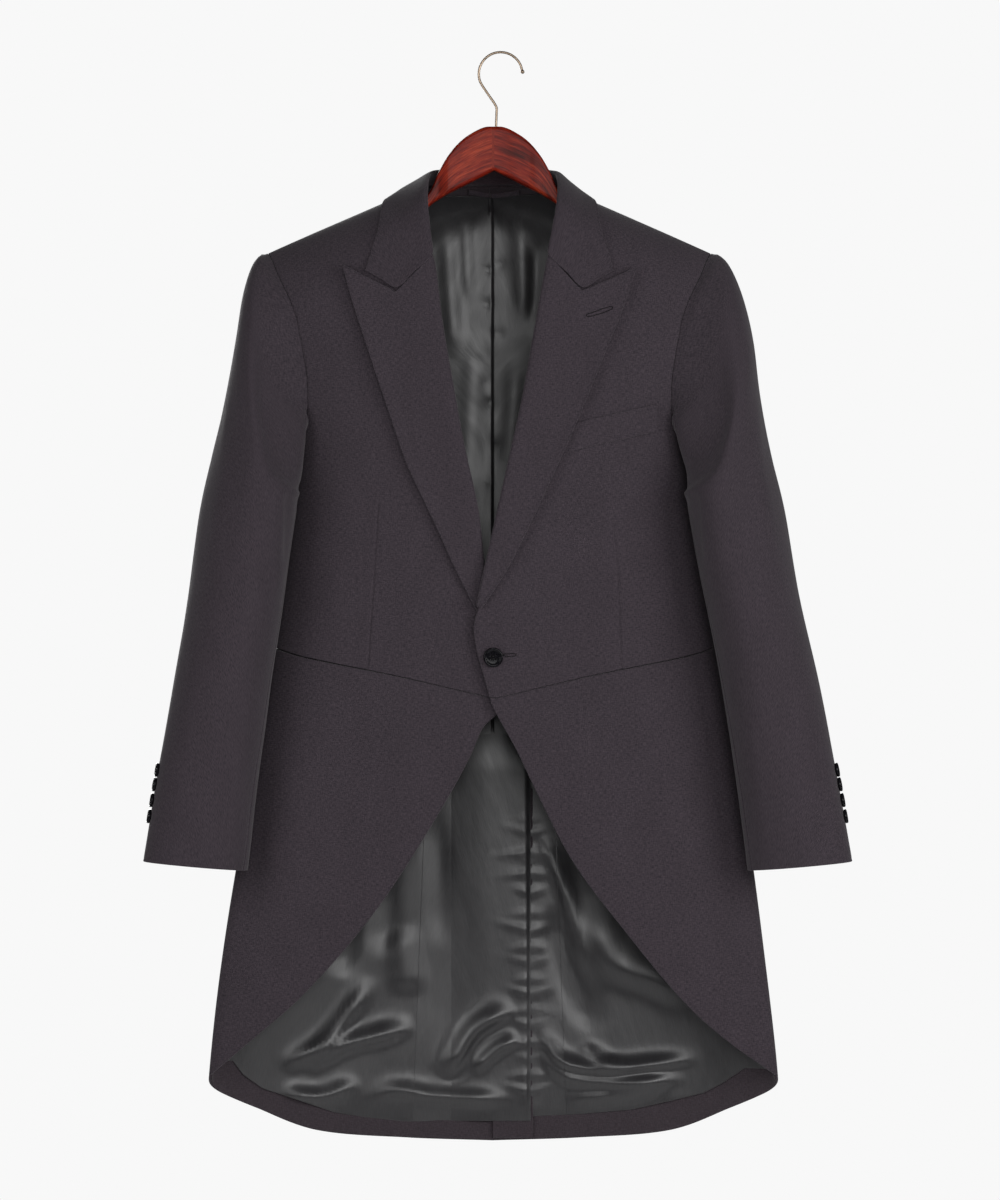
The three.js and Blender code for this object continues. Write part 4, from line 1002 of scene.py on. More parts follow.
sleeve = {
    # outer and inner points of each ring, the middle's y, half the depth, the turn, how much further out
    # the +X sleeve hangs, and how far its front hangs in over the body
    "rings": np.array([
        (247, 926, 216, 722, 4, 60, 0, 2, 20), (258, 893, 220, 706, 1, 66, 6, 6, 27),
        (266, 843, 217, 694, -5, 70, 12, 10, 26), (277, 782, 208, 686, -14, 72, 17, 7, 14),
        (291, 722, 200, 681, -22, 72, 20, 5, 6), (304, 662, 201, 664, -27, 70, 20, 6, 0),
        (315, 575, 212, 588, -30, 65, 18, 9, 0), (330, 484, 226, 494, -33, 57, 15, 14, 0),
        (345, 396, 239, 400, -37, 47, 12, 16, 0), (361, 299, 252, 289, -40, 38, 10, 17, 0)], float),
    "hindSeam": -16, "foreSeam": 150, "settledRing": 3, "armholeGap": 0.9,
    "hindAtHole": -81.6, "foreAtHole": 126, "holeMiddle": 838,
    # how far the front hangs in over the body below the armhole, by height
    "overhang": np.array([(640, 0), (664, -0.5), (672, -2.2), (680, -4.0), (688, -3), (696, -1.5),
                          (704, -0.5), (712, 1), (720, 2.8), (728, 4.7), (736, 6.8), (744, 8.5),
                          (752, 9.5), (760, 9.2), (768, 6), (785, 0)]),
    "overhangAngle": 134, "overhangSpread": 27, "overhangFade": 9,
    "allowance": ((0.5, 0.9), (2.2, 2.1), (6.0, 2.9)),  # rows inwards from the armhole, and how deep
    # rows down the sleeve, by the number of the ring
    "downs": np.concatenate([[0, 0.012, 0.03, 0.06, 0.1, 0.16, 0.24, 0.33], np.linspace(0.45, 3, 24),
                             np.linspace(3.1, 9.9, 96), [9.94, 9.965, 9.98, 9.99, 9.996, 10]]),
    "width": 190, "step": 4.5, "millimetresPerDegree": 1.1,
    "uneven": 0.7, "unevenSeed": 60, "unevenSize": 130, "looseFrom": 930, "looseOver": 60,
    # a little fullness where the cap is eased into the armhole
    "ease": 1.8, "easeAngle": 20, "easeAt": 9, "easeWidth": 7,
    "cut": {"top": (0.318, 0.706, 0.44), "under": (0.267, 0.702, 0.54)},
    # creases: path by angle (1.1 mm a degree) and height, width, depth, lean
    "creases": [
        ([(40, 880), (46, 800), (60, 720)], 14, -1.4, 0.2),
        ([(10, 800), (22, 700), (34, 600)], 12, 1.8, 0.0),
        ([(110, 700), (128, 640), (140, 600)], 10, -2.4, 0.3),
        ([(60, 640), (96, 600), (130, 585)], 12, -1.8, 0.3),
        ([(30, 560), (70, 520), (120, 500)], 15, 1.4, 0.0),
        ([(60, 480), (72, 400), (76, 330)], 14, -1.2, 0.0),
        ([(110, 460), (120, 380), (124, 320)], 12, 1.3, 0.0),
        ([(230, 640), (262, 600), (300, 590)], 13, -2.0, 0.2),
        ([(220, 820), (240, 760), (262, 700)], 14, -1.8, 0.0),
        ([(290, 800), (300, 700), (306, 600)], 14, 1.6, 0.0),
        ([(250, 500), (262, 420), (268, 340)], 14, -1.3, 0.0)],
}


def ringPoints(sign, ring, angle):
    outX, outHeight, inX, inHeight, middleY, halfDepth, turn, splay, drape = ring
    spread = splay if sign > 0 else 0
    outward = np.array([outX - inX, 0, outHeight - inHeight])
    halfWidth = np.linalg.norm(outward) / 2
    outward /= np.linalg.norm(outward)
    turn = math.radians(turn)
    short = math.sqrt(halfWidth ** 2 - (halfDepth * math.sin(turn)) ** 2) / math.cos(turn)
    ahead = np.array([0, -1.0, 0])
    shortAxis = outward * math.cos(turn) + ahead * math.sin(turn)
    longAxis = ahead * math.cos(turn) - outward * math.sin(turn)
    middle = np.array([(outX + inX) / 2 + spread, middleY, (outHeight + inHeight) / 2])
    round_ = np.radians(angle)[:, None]
    spots = middle + shortAxis * short * np.cos(round_) + longAxis * halfDepth * np.sin(round_)
    lowFront = np.where((angle > 90) & (angle < 180), np.sin(2 * np.radians(angle)), 0)
    spots[:, 0] -= drape * lowFront ** 2
    spots[:, 0] *= sign
    return spots


def sleeveRow(side, angle, down):
    sign, rings = signOf[side], sleeve["rings"]
    number = min(max(math.floor(down), 0), len(rings) - 1)

    def ringAt(at):
        if at <= 0:
            share = np.mod(angle, 360) / 360
            return trunkPoint(holes[side](share)) + np.array([sign * sleeve["armholeGap"], 0, 0])
        return ringPoints(sign, rings[min(at, len(rings)) - 1], np.mod(angle, 360))
    a, b, c, d = (ringAt(number + k) for k in (-1, 0, 1, 2))
    t = down - number
    return b + (t / 2) * (c - a + t * (2 * a - 5 * b + 4 * c - d + t * (3 * (b - c) + d - a)))


def makeSleeve(side, part):
    sign, downs = signOf[side], sleeve["downs"]
    hind, fore = np.array([(sleeve["hindAtHole"], sleeve["foreAtHole"]),
                           (sleeve["hindSeam"], sleeve["foreSeam"])]).T
    if part == "under":
        hind, fore = fore, hind + 360
    acrosses = spaced(sleeve["width"], sleeve["step"])
    points, angles = [], []
    for down in downs:
        settled = float(smoothstep(down, 0, sleeve["settledRing"]))
        angle = lerp(lerp(*hind, settled), lerp(*fore, settled), acrosses)
        points.append(sleeveRow(side, angle, down))
        angles.append(angle)
    # the seam's allowance runs in beneath the edge of the armhole
    outward = points[0] - np.array([0, trunk["middleY"], sleeve["holeMiddle"]])
    outward = unit(outward * (0, 1, 1))
    for inward, below in sleeve["allowance"]:
        points.insert(0, points[-len(downs)] - outward * below - np.array([sign * inward, 0, 0]))
        angles.insert(0, angles[0])
    points, angles = np.array(points), np.array(angles)
    normal = gridNormals(points)
    middle = points.mean(1, keepdims=True)
    normal *= np.sign(((points - middle) * normal).sum())
    height = points[..., 2]
    away = np.maximum(distances(points)["top"] - sleeve["allowance"][-1][0] * 1.3, 0)
    inside = np.exp(-((angles - sleeve["overhangAngle"]) / sleeve["overhangSpread"]) ** 2)
    inside *= smoothstep(away, 0, sleeve["overhangFade"])
    points[..., 0] -= sign * inside * np.interp(height, *sleeve["overhang"].T)
    fade = smoothstep(sleeve["looseFrom"] - height, 0, sleeve["looseOver"])
    lift = fade * strokes(np.mod(angles, 360), height, sleeve["creases"])
    lift += fade * unevenness(sleeve, angles * sleeve["millimetresPerDegree"], height, sign)
    if part == "top":
        cap = np.clip(np.cos(np.radians(angles - sleeve["easeAngle"])), 0, 1)
        lift += sleeve["ease"] * cap * np.exp(-((away - sleeve["easeAt"]) / sleeve["easeWidth"]) ** 2)
    uvs = np.stack([angles * sleeve["millimetresPerDegree"] * sign, -away], -1) / 1000
    return clothPiece(f"{side}{part.title()}SleeveCloth", [f"sleeve_{part}_{side}"],
                      points + normal * lift[..., None], normal, uvs, sleeve["cut"][part],
                      {"start": "sewn", "end": "sewn", "bottom": "turned"})


for side in signOf:
    makeSleeve(side, "top")
    makeSleeve(side, "under")
print("sleeves made")


# ---- linings, hem facings and the vent, seen through the open front

lining = {
    "step": 3.5, "fineRows": 400, "tuck": 0.002,
    "backNet": (1000, 170), "backSeamX": 3, "seamRise": 0.8, "seamWidth": 0.9,
    # the skirt's lining starts this share of the skirt's width behind the front edge
    "skirtNet": (500, 480), "skirtStep": 5.0, "skirtFrom": 1 / 12,
    # it lies closer where the sleeves hide it, and flat in front of this angle
    "hiddenFrom": 240, "hiddenTo": 285, "hiddenShare": 0.7, "sideAngle": 90,
    # where the tails' slack starts, and the slack of tails and back: how far it stands off, how much
    # that wanders, and the seed and size of the wandering
    "looseFrom": 430, "looseOver": 200, "tailSlack": (3.0, 1.6, 71, 95), "backSlack": (2.8, 0.8, 72, 70),
    # folds of the loose satin inside the tails, as seen from the front: path, width, depth, lean
    "folds": [
        ([(-224, 76), (-190, 92), (-170, 108), (-142, 142), (-122, 176)], 8, 8, 0.25),
        ([(-196, 72), (-160, 98), (-118, 110), (-76, 122)], 9, 9, 0.3),
        ([(-224, 52), (-178, 46), (-136, 64)], 8, 7, 0.2),
        ([(-52, 64), (-34, 88), (-14, 118), (30, 142)], 10, 10, 0.3),
        ([(-18, 70), (8, 96), (34, 110)], 7, 7, 0.3),
        ([(-132, 38), (-100, 52), (-60, 46), (28, 42)], 8, 7, 0.3),
        ([(-160, 170), (-150, 220), (-156, 270)], 12, -5, 0.0),
        ([(-118, 300), (-112, 250), (-110, 190)], 13, -4, 0.0),
        ([(-60, 360), (-54, 280), (-52, 200)], 12, -3, 0.0),
        ([(-96, 230), (-90, 190), (-84, 150)], 14, 4, 0.0),
        ([(52, 330), (76, 270), (96, 200), (120, 150)], 9, 7, 0.4),
        ([(100, 260), (130, 190), (176, 170), (220, 140)], 20, 8, 0.3),
        ([(62, 250), (76, 190), (96, 140), (120, 112)], 12, -6, 0.2),
        ([(50, 124), (74, 86), (110, 76), (170, 80), (226, 88)], 7, 9, 0.35),
        ([(50, 98), (80, 68), (130, 62), (210, 66)], 8, 8, 0.3),
        ([(96, 104), (126, 80), (150, 78)], 7, 6, 0.2),
        ([(80, 40), (140, 50), (196, 62)], 9, 6, 0.2)],
    # the upper back: long soft folds down from the neck
    "upperFolds": [
        ([(-46, 985), (-42, 900), (-36, 820)], 9, 2.5, 0.0),
        ([(-26, 990), (-24, 930), (-22, 880)], 7, 2.0, 0.0),
        ([(30, 990), (34, 930), (38, 860)], 9, 2.6, 0.0),
        ([(-14, 860), (-20, 760), (-22, 690)], 12, 2.2, 0.0),
        ([(28, 840), (24, 760), (16, 690)], 10, 2.0, 0.0),
        ([(52, 960), (48, 900), (44, 850)], 8, -2.0, 0.0)],
    # small pits where the centre seam is caught down: place, reach and depth
    "pits": ((-1.5, 921, 4, 2.0), (11.4, 927, 5, 1.4), (-2.8, 885, 4.5, 2.2), (2.4, 854, 3.5, 1.5),
             (11.4, 853, 4, 1.2), (-11.8, 826, 7, 1.2), (-4, 800, 7, 1.0), (-0.2, 780, 4, 2.2),
             (4, 740, 4.5, 1.4), (-2, 697, 4.5, 1.3), (3, 986, 3, 1.6)),
    "ventPuckers": (340, 325, 305, 295, 283, 262, 241, 222, 205, 188, 171, 155, 138, 122, 104, 86, 70,
                    52, 36),
    "puckerReach": 18, "puckerDepth": 1.5, "puckerSlope": 0.25, "puckerWidth": 4.0, "puckersFrom": 370,
    "ventX": 43.5, "ventTop": 378, "pleatFrom": 16, "pleatTo": 50,
    # its lower edge inside the back, as seen from the front, and the share of a skirt at which it ends
    "bottom": np.array([(-272, 86), (-261, 71), (-240, 56), (-207, 45), (-164, 30), (-133, 25),
                        (-90, 20), (-36, 20), (32, 25), (97, 28), (151, 33), (194, 43), (226, 51),
                        (247, 62), (270, 78)]),
    "frontShare": 0.955, "frontAngles": (84, 98),
    "cut": {"back": (0.256, 1.01, 0.44), "skirt": (0.38, 0.516, 0.78), "vent": (0.112, 0.435, 0.94)},
}


def puckers(x, height):
    # small pulls beside the vent, alternating up and down it
    total = np.zeros(np.shape(x))
    away = np.abs(x - lining["ventX"])
    for i, place in enumerate(lining["ventPuckers"]):
        slope = height - place - lining["puckerSlope"] * away * (1 if i % 2 else -0.4)
        long = lining["puckerReach"] * (0.7 + 0.6 * ((i * 7) % 5) / 4)
        pull = np.exp(-(slope / lining["puckerWidth"]) ** 2) * np.exp(-(away / long) ** 2)
        total += lining["puckerDepth"] * pull * (1 if i % 3 else 0.5)
    return total


def liningFolds(x, height):
    # how far the lining hangs away from the cloth, towards the front
    fold = strokes(x, height, lining["folds"]) + strokes(x, height, lining["upperFolds"])
    loose = smoothstep(lining["looseFrom"] - height, 0, lining["looseOver"])
    for share, slack in ((loose, "tailSlack"), (1 - loose, "backSlack")):
        off, wander, seed, size = lining[slack]
        fold = fold + share * (off + wander * waves(x, height * 0.5, seed, size))
    for atX, atHeight, reach, depth in lining["pits"]:
        fold = fold - depth * np.exp(-np.hypot(x - atX, height - atHeight) / reach)
    fold = fold + smoothstep(lining["puckersFrom"] - height, 0, 20) * puckers(x, height)
    # it never reaches back through the cloth
    fold = np.log1p(np.exp(np.clip(fold * 2, -30, 30))) / 2
    # the pleat that lies over the hem's facing
    return fold * smoothstep(height, lining["pleatFrom"], lining["pleatTo"]) + 0.2


def bottomShares(sides, columns):
    # how far down each column the lining ends
    downs = np.linspace(0, 1, lining["fineRows"])
    grid = net(*sides, downs, columns)
    x, height = seenPlace(grid)
    above = height - np.interp(x, *lining["bottom"].T)
    shares = np.array([np.interp(0, -column, downs) for column in above.T])
    behind = smoothstep(np.abs(grid[-1, :, 0]), *lining["frontAngles"])
    return lerp(lining["frontShare"], shares, behind)


def unevenNet(sides, tops, bottoms, rows, columns):
    # a net whose columns start and end at their own shares
    downs = np.linspace(0, 1, lining["fineRows"])
    full = net(*sides, downs, columns)
    strips = []
    for i, (top, bottom) in enumerate(zip(tops, bottoms)):
        strips.append(columnsAt(lerp(top, bottom, rows), downs, full[:, i]))
    return np.stack(strips, 1)


def makeLining(name, nodes, sides, top, rows, columns, cut, seamX=None):
    bottoms = bottomShares(sides, columns)
    grid = unevenNet(sides, np.full(len(columns), top), bottoms, rows, columns)
    x, height = seenPlace(grid)
    hidden = smoothstep(np.abs(x), lining["hiddenFrom"], lining["hiddenTo"]) * lining["hiddenShare"]
    behind = np.abs(grid[..., 0]) > lining["sideAngle"]
    lift = -cloth["liningDepth"] - liningFolds(x, height) * (1 - hidden) * behind
    if seamX is not None:
        ridge = lining["seamRise"] * np.exp(-((x - seamX) / lining["seamWidth"]) ** 2)
        lift = lift + ridge * (height > lining["ventTop"])
    return trunkPiece(name, nodes, grid, lift, cut, {"bottom": "turned"}, thick=cloth["lining"],
                      finish=satin, slot="lining")


# the neck's facing ends and the lining starts here, as a share of the back's length
neckShare = 0.25 / 6 * trunk["backHolePart"]

for side in signOf:
    rows, columns = (spaced(size, lining["step"]) for size in lining["backNet"])
    makeLining(f"{side}BackLining", [f"back_lining_{side}"], backSides(side),
               neckShare - lining["tuck"], rows, columns, lining["cut"]["back"], lining["backSeamX"])
    length, width = lining["skirtNet"]
    columns = lerp(lining["skirtFrom"], 1, spaced(width, lining["skirtStep"]))
    makeLining(f"{side}SkirtLining", [f"skirt_lining_{side}"], skirtSides(side), 0.0,
               spaced(length, lining["step"]), columns, lining["cut"]["skirt"])
print("linings made")

hemFacing = {
    "cut": (0.323, 0.041, 0.72), "rows": 16, "step": 6.0, "foot": 0.9993, "lift": 0.2,
    "uneven": 0.3, "unevenSeed": 80, "unevenSize": 60,
    # in the skirt and in the back: the share across at which it starts, its width, and the share by
    # which it runs up under the lining
    "skirt": (1 / 6, 430, 0.025), "back": (0, 84, 0.012),
}


def makeHemFacing(side):
    # a band of the cloth turned up inside the hem, over the tail and the skirt, up under the lining
    rows = np.linspace(0, 1, hemFacing["rows"])
    parts = []
    for sides, name in ((skirtSides(side), "skirt"), (backSides(side), "back")):
        start, width, under = hemFacing[name]
        columns = lerp(start, 1, spaced(width, hemFacing["step"]))
        tops = bottomShares(sides, columns) - under
        parts.append(unevenNet(sides, tops, np.full(len(columns), hemFacing["foot"]), rows, columns))
    skirtGrid, backGrid = parts
    grid = np.concatenate([skirtGrid, backGrid[:, ::-1][:, 1:]], 1)
    lift = lapLift(side, grid) - cloth["liningDepth"] + hemFacing["lift"]
    lift -= unevenness(hemFacing, *seenPlace(grid))
    return trunkPiece(f"{side}HemTurning", [f"hem_facing_{side}"], grid, lift, hemFacing["cut"],
                      {"bottom": "turned", "top": "turned"}, thick=cloth["facing"], finish=insideShadedWool)


for side in signOf:
    makeHemFacing(side)

vent = {
    "height": 378, "slant": 6, "start": 0.5, "overlap": 43, "hemHeight": 3, "lift": -4.2, "thick": 3.0,
    "length": 372, "rowStep": 5.0, "step": 2.5, "cut": (0.043, 0.375, 0.99),
    "liningLeft": -62, "liningTop": 450, "liningFoot": 21, "liningRowStep": 3.0, "liningStep": 2.0,
    "liningOver": 2, "topFade": 60, "edgeFade": 6, "beneath": 1.6, "flatShare": 0.12,
}


def stripSides(upper, lower):
    return [through(upper), through(lower), through([upper[0], lower[0]]), through([upper[-1], lower[-1]])]


def makeVent():
    start = trunk["centreSeamX"] + vent["start"]
    end = trunk["centreSeamX"] + vent["overlap"]
    sides = stripSides([(start, vent["height"]), (end, vent["height"] - vent["slant"])],
                       [(start, vent["hemHeight"]), (end, vent["hemHeight"])])
    flat = net(*sides, spaced(vent["length"], vent["rowStep"]), spaced(vent["overlap"], vent["step"]))
    grid = onTrunk(flat[..., 0], flat[..., 1], "back", 1)
    trunkPiece("ventUnderlapCloth", ["vent_underlap"], grid, vent["lift"], vent["cut"], freeEdges,
               thick=vent["thick"], finish=insideShadedWool, holds="rightBackCloth")
    # the right back's lining is drawn over the underlap and felled just inside its edge
    left, right, top, foot = vent["liningLeft"], lining["ventX"], vent["liningTop"], vent["liningFoot"]
    flat = net(*stripSides([(left, top), (right, top)], [(left, foot), (right, foot)]),
               spaced(top - foot, vent["liningRowStep"]), spaced(right - left, vent["liningStep"]))
    x, height = flat[..., 0], flat[..., 1]
    # it starts beneath the lining beside it and above it, and comes up through them
    onLap = smoothstep(x, left, vent["liningOver"]) * smoothstep(top - height, 0, vent["topFade"])
    edge = smoothstep(right - x, 0, vent["edgeFade"])
    depth = lerp(cloth["liningDepth"] - vent["beneath"], -vent["lift"] + vent["thick"] - 0.1, onLap)
    lift = -depth - liningFolds(x, height) * lerp(vent["flatShare"], 1, edge)
    trunkPiece("ventLining", ["vent_underlap"], onTrunk(x, height, "back", 1), lift,
               lining["cut"]["vent"], {"end": "sewn", "bottom": "turned"}, thick=cloth["lining"],
               finish=satin, slot="lining", holds="ventUnderlapCloth")


makeVent()
print("hems and vent made")


# ---- inside the neck

neck = {
    "facing": {"cut": (0.182, 0.013, 0.77), "rows": np.linspace(0.0004, neckShare, 14), "width": 80,
               "step": 4.0, "below": 0.3, "uneven": 0.2, "unevenSeed": 90, "unevenSize": 40},
    "loop": {"upper": [(-24, 1009), (3, 1005.5), (33, 1008.8)],
             "lower": [(-24, 1004), (3, 1000.5), (33, 1003.8)],
             "left": -24, "width": 57, "step": 2.5, "height": 5, "rowStep": 0.8,
             "nearRows": (0, 0.3, 0.7, 1.2), "lift": -5.6, "bow": 1.6, "thick": 1.4,
             "cut": (0.06, 0.0102, 0.55)},
}


def makeNeck():
    facing, loop = neck["facing"], neck["loop"]
    columns = trunk["neckShare"] * spaced(facing["width"], facing["step"])
    right, left = (net(*backSides(side), facing["rows"], columns) for side in ("right", "left"))
    right = right + np.array([360, 0])
    grid = np.concatenate([right[:, ::-1], left[:, 1:]], 1)
    depth = cloth["liningDepth"] + facing["below"] + unevenness(facing, *seenPlace(grid))
    trunkPiece("neckFacingCloth", ["neck_facing"], grid, -depth, facing["cut"], {"bottom": "turned"},
               thick=cloth["facing"], finish=insideShadedWool)
    rows = spaced(loop["height"], loop["rowStep"], loop["nearRows"])
    flat = net(*stripSides(loop["upper"], loop["lower"]), rows, spaced(loop["width"], loop["step"]))
    grid = onTrunk(flat[..., 0], flat[..., 1], "back", 1)
    bow = loop["bow"] * np.sin(np.pi * (flat[..., 0] - loop["left"]) / loop["width"])
    trunkPiece("hangingLoopCloth", ["hanging_loop"], grid, loop["lift"] - bow, loop["cut"],
               {"top": "turned", "bottom": "turned"}, thick=loop["thick"], finish=wool,
               holds="neckFacingCloth")


makeNeck()

welt = {"upper": [(91, 756), (175, 776)], "lower": [(75, 724), (174, 747)],
        "length": 30, "rowStep": 2.5, "width": 95, "step": 3.0,
        "lift": 2.2, "thick": 1.6, "cut": (0.105, 0.036, 0.72)}


def makeWelt():
    flat = net(*stripSides(welt["upper"], welt["lower"]), *sharesOf(welt))
    grid = onTrunk(flat[..., 0], flat[..., 1])
    trunkPiece("breastWeltCloth", ["breast_welt"], grid, welt["lift"] + lapLift("left", grid), welt["cut"],
               allTurned, thick=welt["thick"], holds="leftForepartCloth")


makeWelt()
print("neck and welt made")


# ---- buttons

button = {
    "front": {"x": 4, "height": 512, "radius": 10.25, "thick": 4, "seat": 0.3},
    "cuff": {"radius": 7.4, "thick": 3.4, "seat": -0.25},
    # up each cuff, and how far each of its buttons is turned
    "row": {"count": 4, "firstHeight": 394, "pitch": 14.4, "angle": -3, "spins": (8, -12, 20, -5)},
    # the profile from the back's middle round the rim to the dish, as shares of the radius and thickness
    "profile": [(0, 0), (0.8, 0), (0.93, 0.12), (1, 0.45), (0.985, 0.75), (0.94, 0.94), (0.87, 1.0),
                (0.79, 0.96), (0.73, 0.84), (0.66, 0.72), (0.4, 0.66), (0, 0.65)],
    "segments": 72, "holeOut": 0.2, "holeRadius": 0.085, "holeSegments": 16, "frontSpin": 4,
    # the drill, as shares of the hole's radius and the button's thickness
    "drill": [(0, -1.0), (0.9, -1.0), (1.0, -0.9), (1.0, 1.8), (0.9, 2.0), (0, 2.0)],
    # two bars of thread, each of two strands, as a share of the holes' places and in millimetres
    "threadShare": 0.72, "threadRise": 0.67, "threadDown": 1.2, "strandShift": 0.22,
    "strandRadius": 0.00024, "strandSides": 6,
}


def latheMesh(profile, segments):
    a = np.linspace(0, 2 * math.pi, segments, endpoint=False)
    rings = [np.stack([r * np.cos(a), r * np.sin(a), np.full(segments, z)], -1)
             for r, z in smoothline(profile[1:-1], 4)]
    verts = np.concatenate([*rings, [[0, 0, profile[0][1]]], [[0, 0, profile[-1][1]]]])
    faces = gridFaces(len(rings), segments, closed=True)[:, ::-1].tolist()
    low, high, last = len(verts) - 2, len(verts) - 1, (len(rings) - 1) * segments
    for i in range(segments):
        j = (i + 1) % segments
        faces += [[low, j, i], [high, last + i, last + j]]
    mesh = bpy.data.meshes.new("turning")
    mesh.from_pydata(verts.tolist(), [], faces)
    return mesh


def drilledButton(size):
    # one button in millimetres, its back on the origin and its face up, with four holes drilled
    radius, thick = size["radius"], size["thick"]
    profile = [(r * radius, z * thick) for r, z in button["profile"]]
    blank = stand("buttonBlank", latheMesh(profile, button["segments"]))
    hole, out = button["holeRadius"] * radius, button["holeOut"] * radius
    drills = []
    for k in range(4):
        angle = math.radians(45 + 90 * k)
        mesh = latheMesh([(r * hole, z * thick) for r, z in button["drill"]], button["holeSegments"])
        mesh.transform(Matrix.Translation((math.cos(angle) * out, math.sin(angle) * out, 0)))
        drills.append(stand("drill", mesh))
    for drill in drills:
        cut = blank.modifiers.new("hole", "BOOLEAN")
        cut.operation, cut.object, cut.solver = "DIFFERENCE", drill, "EXACT"
    made = bpy.data.meshes.new_from_object(blank.evaluated_get(bpy.context.evaluated_depsgraph_get()))
    for item in (blank, *drills):
        bpy.data.objects.remove(item)
    return made


def standing(place, outward, seat, spin=0.0):
    # from a button's own millimetres to its place on the coat, in metres
    turn = Vector(outward.tolist()).to_track_quat("Z", "Y").to_matrix().to_4x4()
    at = (place + outward * seat - hookCrown) / 1000
    return Matrix.Translation(at.tolist()) @ Matrix.Scale(0.001, 4) @ turn @ Matrix.Rotation(spin, 4, "Z")


def plainPiece(name, mesh, finish, nodes):
    mesh.materials.clear()
    mesh.materials.append(finish)
    mesh.polygons.foreach_set("use_smooth", [True] * len(mesh.polygons))
    mesh.update()
    return hang(stand(name, mesh), nodes)


def cuffPlace(side, height):
    # the sleeve's outer line, from its rings, and the way it faces there
    rings, angle = sleeve["rings"], button["row"]["angle"]
    following = int(np.argmax(rings[:, 1] < height))
    above, below = rings[following - 1, 1], rings[following, 1]
    down = following + (above - height) / (above - below)
    spot = sleeveRow(side, np.array([angle - 1.0, angle, angle + 1.0]), down)
    further = sleeveRow(side, np.array([float(angle)]), down + 0.02)[0]
    outward = unit(np.cross(spot[2] - spot[0], further - spot[1]) * -signOf[side])
    return spot[1], outward if outward[0] * signOf[side] > 0 else -outward


def makeButtons():
    strands = []

    def setButton(name, nodes, mesh, matrix, size):
        mesh.transform(matrix)
        plainPiece(name, mesh, resin, nodes)
        out = button["holeOut"] * size["radius"] * button["threadShare"]
        top = size["thick"] * button["threadRise"]
        low = top - button["threadDown"]
        for y in (-out, out):
            path = [(-out, y, low), (-out * 0.8, y, top + 0.15), (0, y, top + 0.35),
                    (out * 0.8, y, top + 0.15), (out, y, low)]
            for shift in (-button["strandShift"], button["strandShift"]):
                strands.append([matrix @ Vector((a, b + shift, c)) for a, b, c in smoothline(path, 5)])

    size = button["front"]
    spot = onTrunk(size["x"], size["height"])
    outward = trunkNormal(spot)
    place = trunkPoint(spot) + outward * lapLift("left", spot)
    matrix = standing(place, outward, size["seat"], math.radians(button["frontSpin"]))
    setButton("frontButtonTurned", ["front_button"], drilledButton(size), matrix, size)
    size, row = button["cuff"], button["row"]
    small = drilledButton(size)
    for side in signOf:
        for i in range(row["count"]):
            place, outward = cuffPlace(side, row["firstHeight"] - i * row["pitch"])
            matrix = standing(place, outward, size["seat"], math.radians(row["spins"][i]))
            setButton(f"{side}CuffButtonTurned{i + 1}", [f"cuff_button_{side}_{i + 1}"], small.copy(),
                      matrix, size)
    verts, faces = [], []
    for path in strands:
        radii = np.full(len(path), button["strandRadius"])
        tube(np.array([list(spot) for spot in path]), radii, button["strandSides"], verts, faces)
    mesh = bpy.data.meshes.new("buttonThreads")
    mesh.from_pydata(np.array(verts).tolist(), [], faces)
    plainPiece("buttonThreads", mesh, blackSilk, [])


def tube(path, radii, sides, verts, faces):
    # adds a round tube with closed ends along a path
    base = len(verts)
    ahead = unit(np.gradient(path, axis=0))
    # a direction that the path never follows
    flat = np.array([0.0, 1.0, 0.0]) if abs(ahead[:, 1]).max() < 0.9 else np.array([0.3, 0.2, 0.93])
    aside = unit(np.cross(ahead, flat))
    other = np.cross(aside, ahead)
    for k, spot in enumerate(path):
        for i in range(sides):
            a = 2 * math.pi * i / sides
            verts.append(spot + (aside[k] * math.cos(a) + other[k] * math.sin(a)) * radii[k])
    verts += [path[0], path[-1]]
    for k in range(len(path) - 1):
        for i in range(sides):
            j = (i + 1) % sides
            a, b = base + k * sides, base + (k + 1) * sides
            faces.append([a + i, b + i, b + j, a + j])
    last, first, end = base + (len(path) - 1) * sides, len(verts) - 2, len(verts) - 1
    for i in range(sides):
        j = (i + 1) % sides
        faces += [[first, base + i, base + j], [end, last + j, last + i]]


makeButtons()
print("buttons made")


# ---- hanger and hook

hanger = {
    "middleX": 5, "middleY": 4,
    # outwards from the middle of an arm: top, bottom and half the depth
    "arm": np.array([
        (0, 1068, 1022, 8), (10, 1067.5, 1017, 8), (22, 1062, 1011, 8.5), (36, 1052, 1004, 9),
        (48, 1038, 998, 9.5), (58, 1021, 992, 8.5), (64, 1007, 988, 8.5), (70, 997, 983, 8.5),
        (80, 991.8, 975, 10), (112, 981.3, 957, 12), (152, 964, 939, 12.5), (192, 944.5, 920, 11.5),
        (208, 933.5, 917, 11)]),
    "bevel": 2.6, "endRound": 5.0, "steps": 84, "endSteps": 6, "sides": 64,
    # the two arms are cut from separate boards, whose grain is this far apart
    "boardShift": 0.35,
}
hook = {"wireRadius": 1.3, "bendRadius": 22.9, "tipAngle": 10, "heelAngle": 213, "ballRadius": 2.1,
        "ballShares": np.linspace(-0.96, 0.75, 14), "stemX": 1.5, "stemHeight": 23, "elbowX": 0.8,
        "seat": -0.4, "sunk": 6, "bendSteps": 90, "sides": 20}


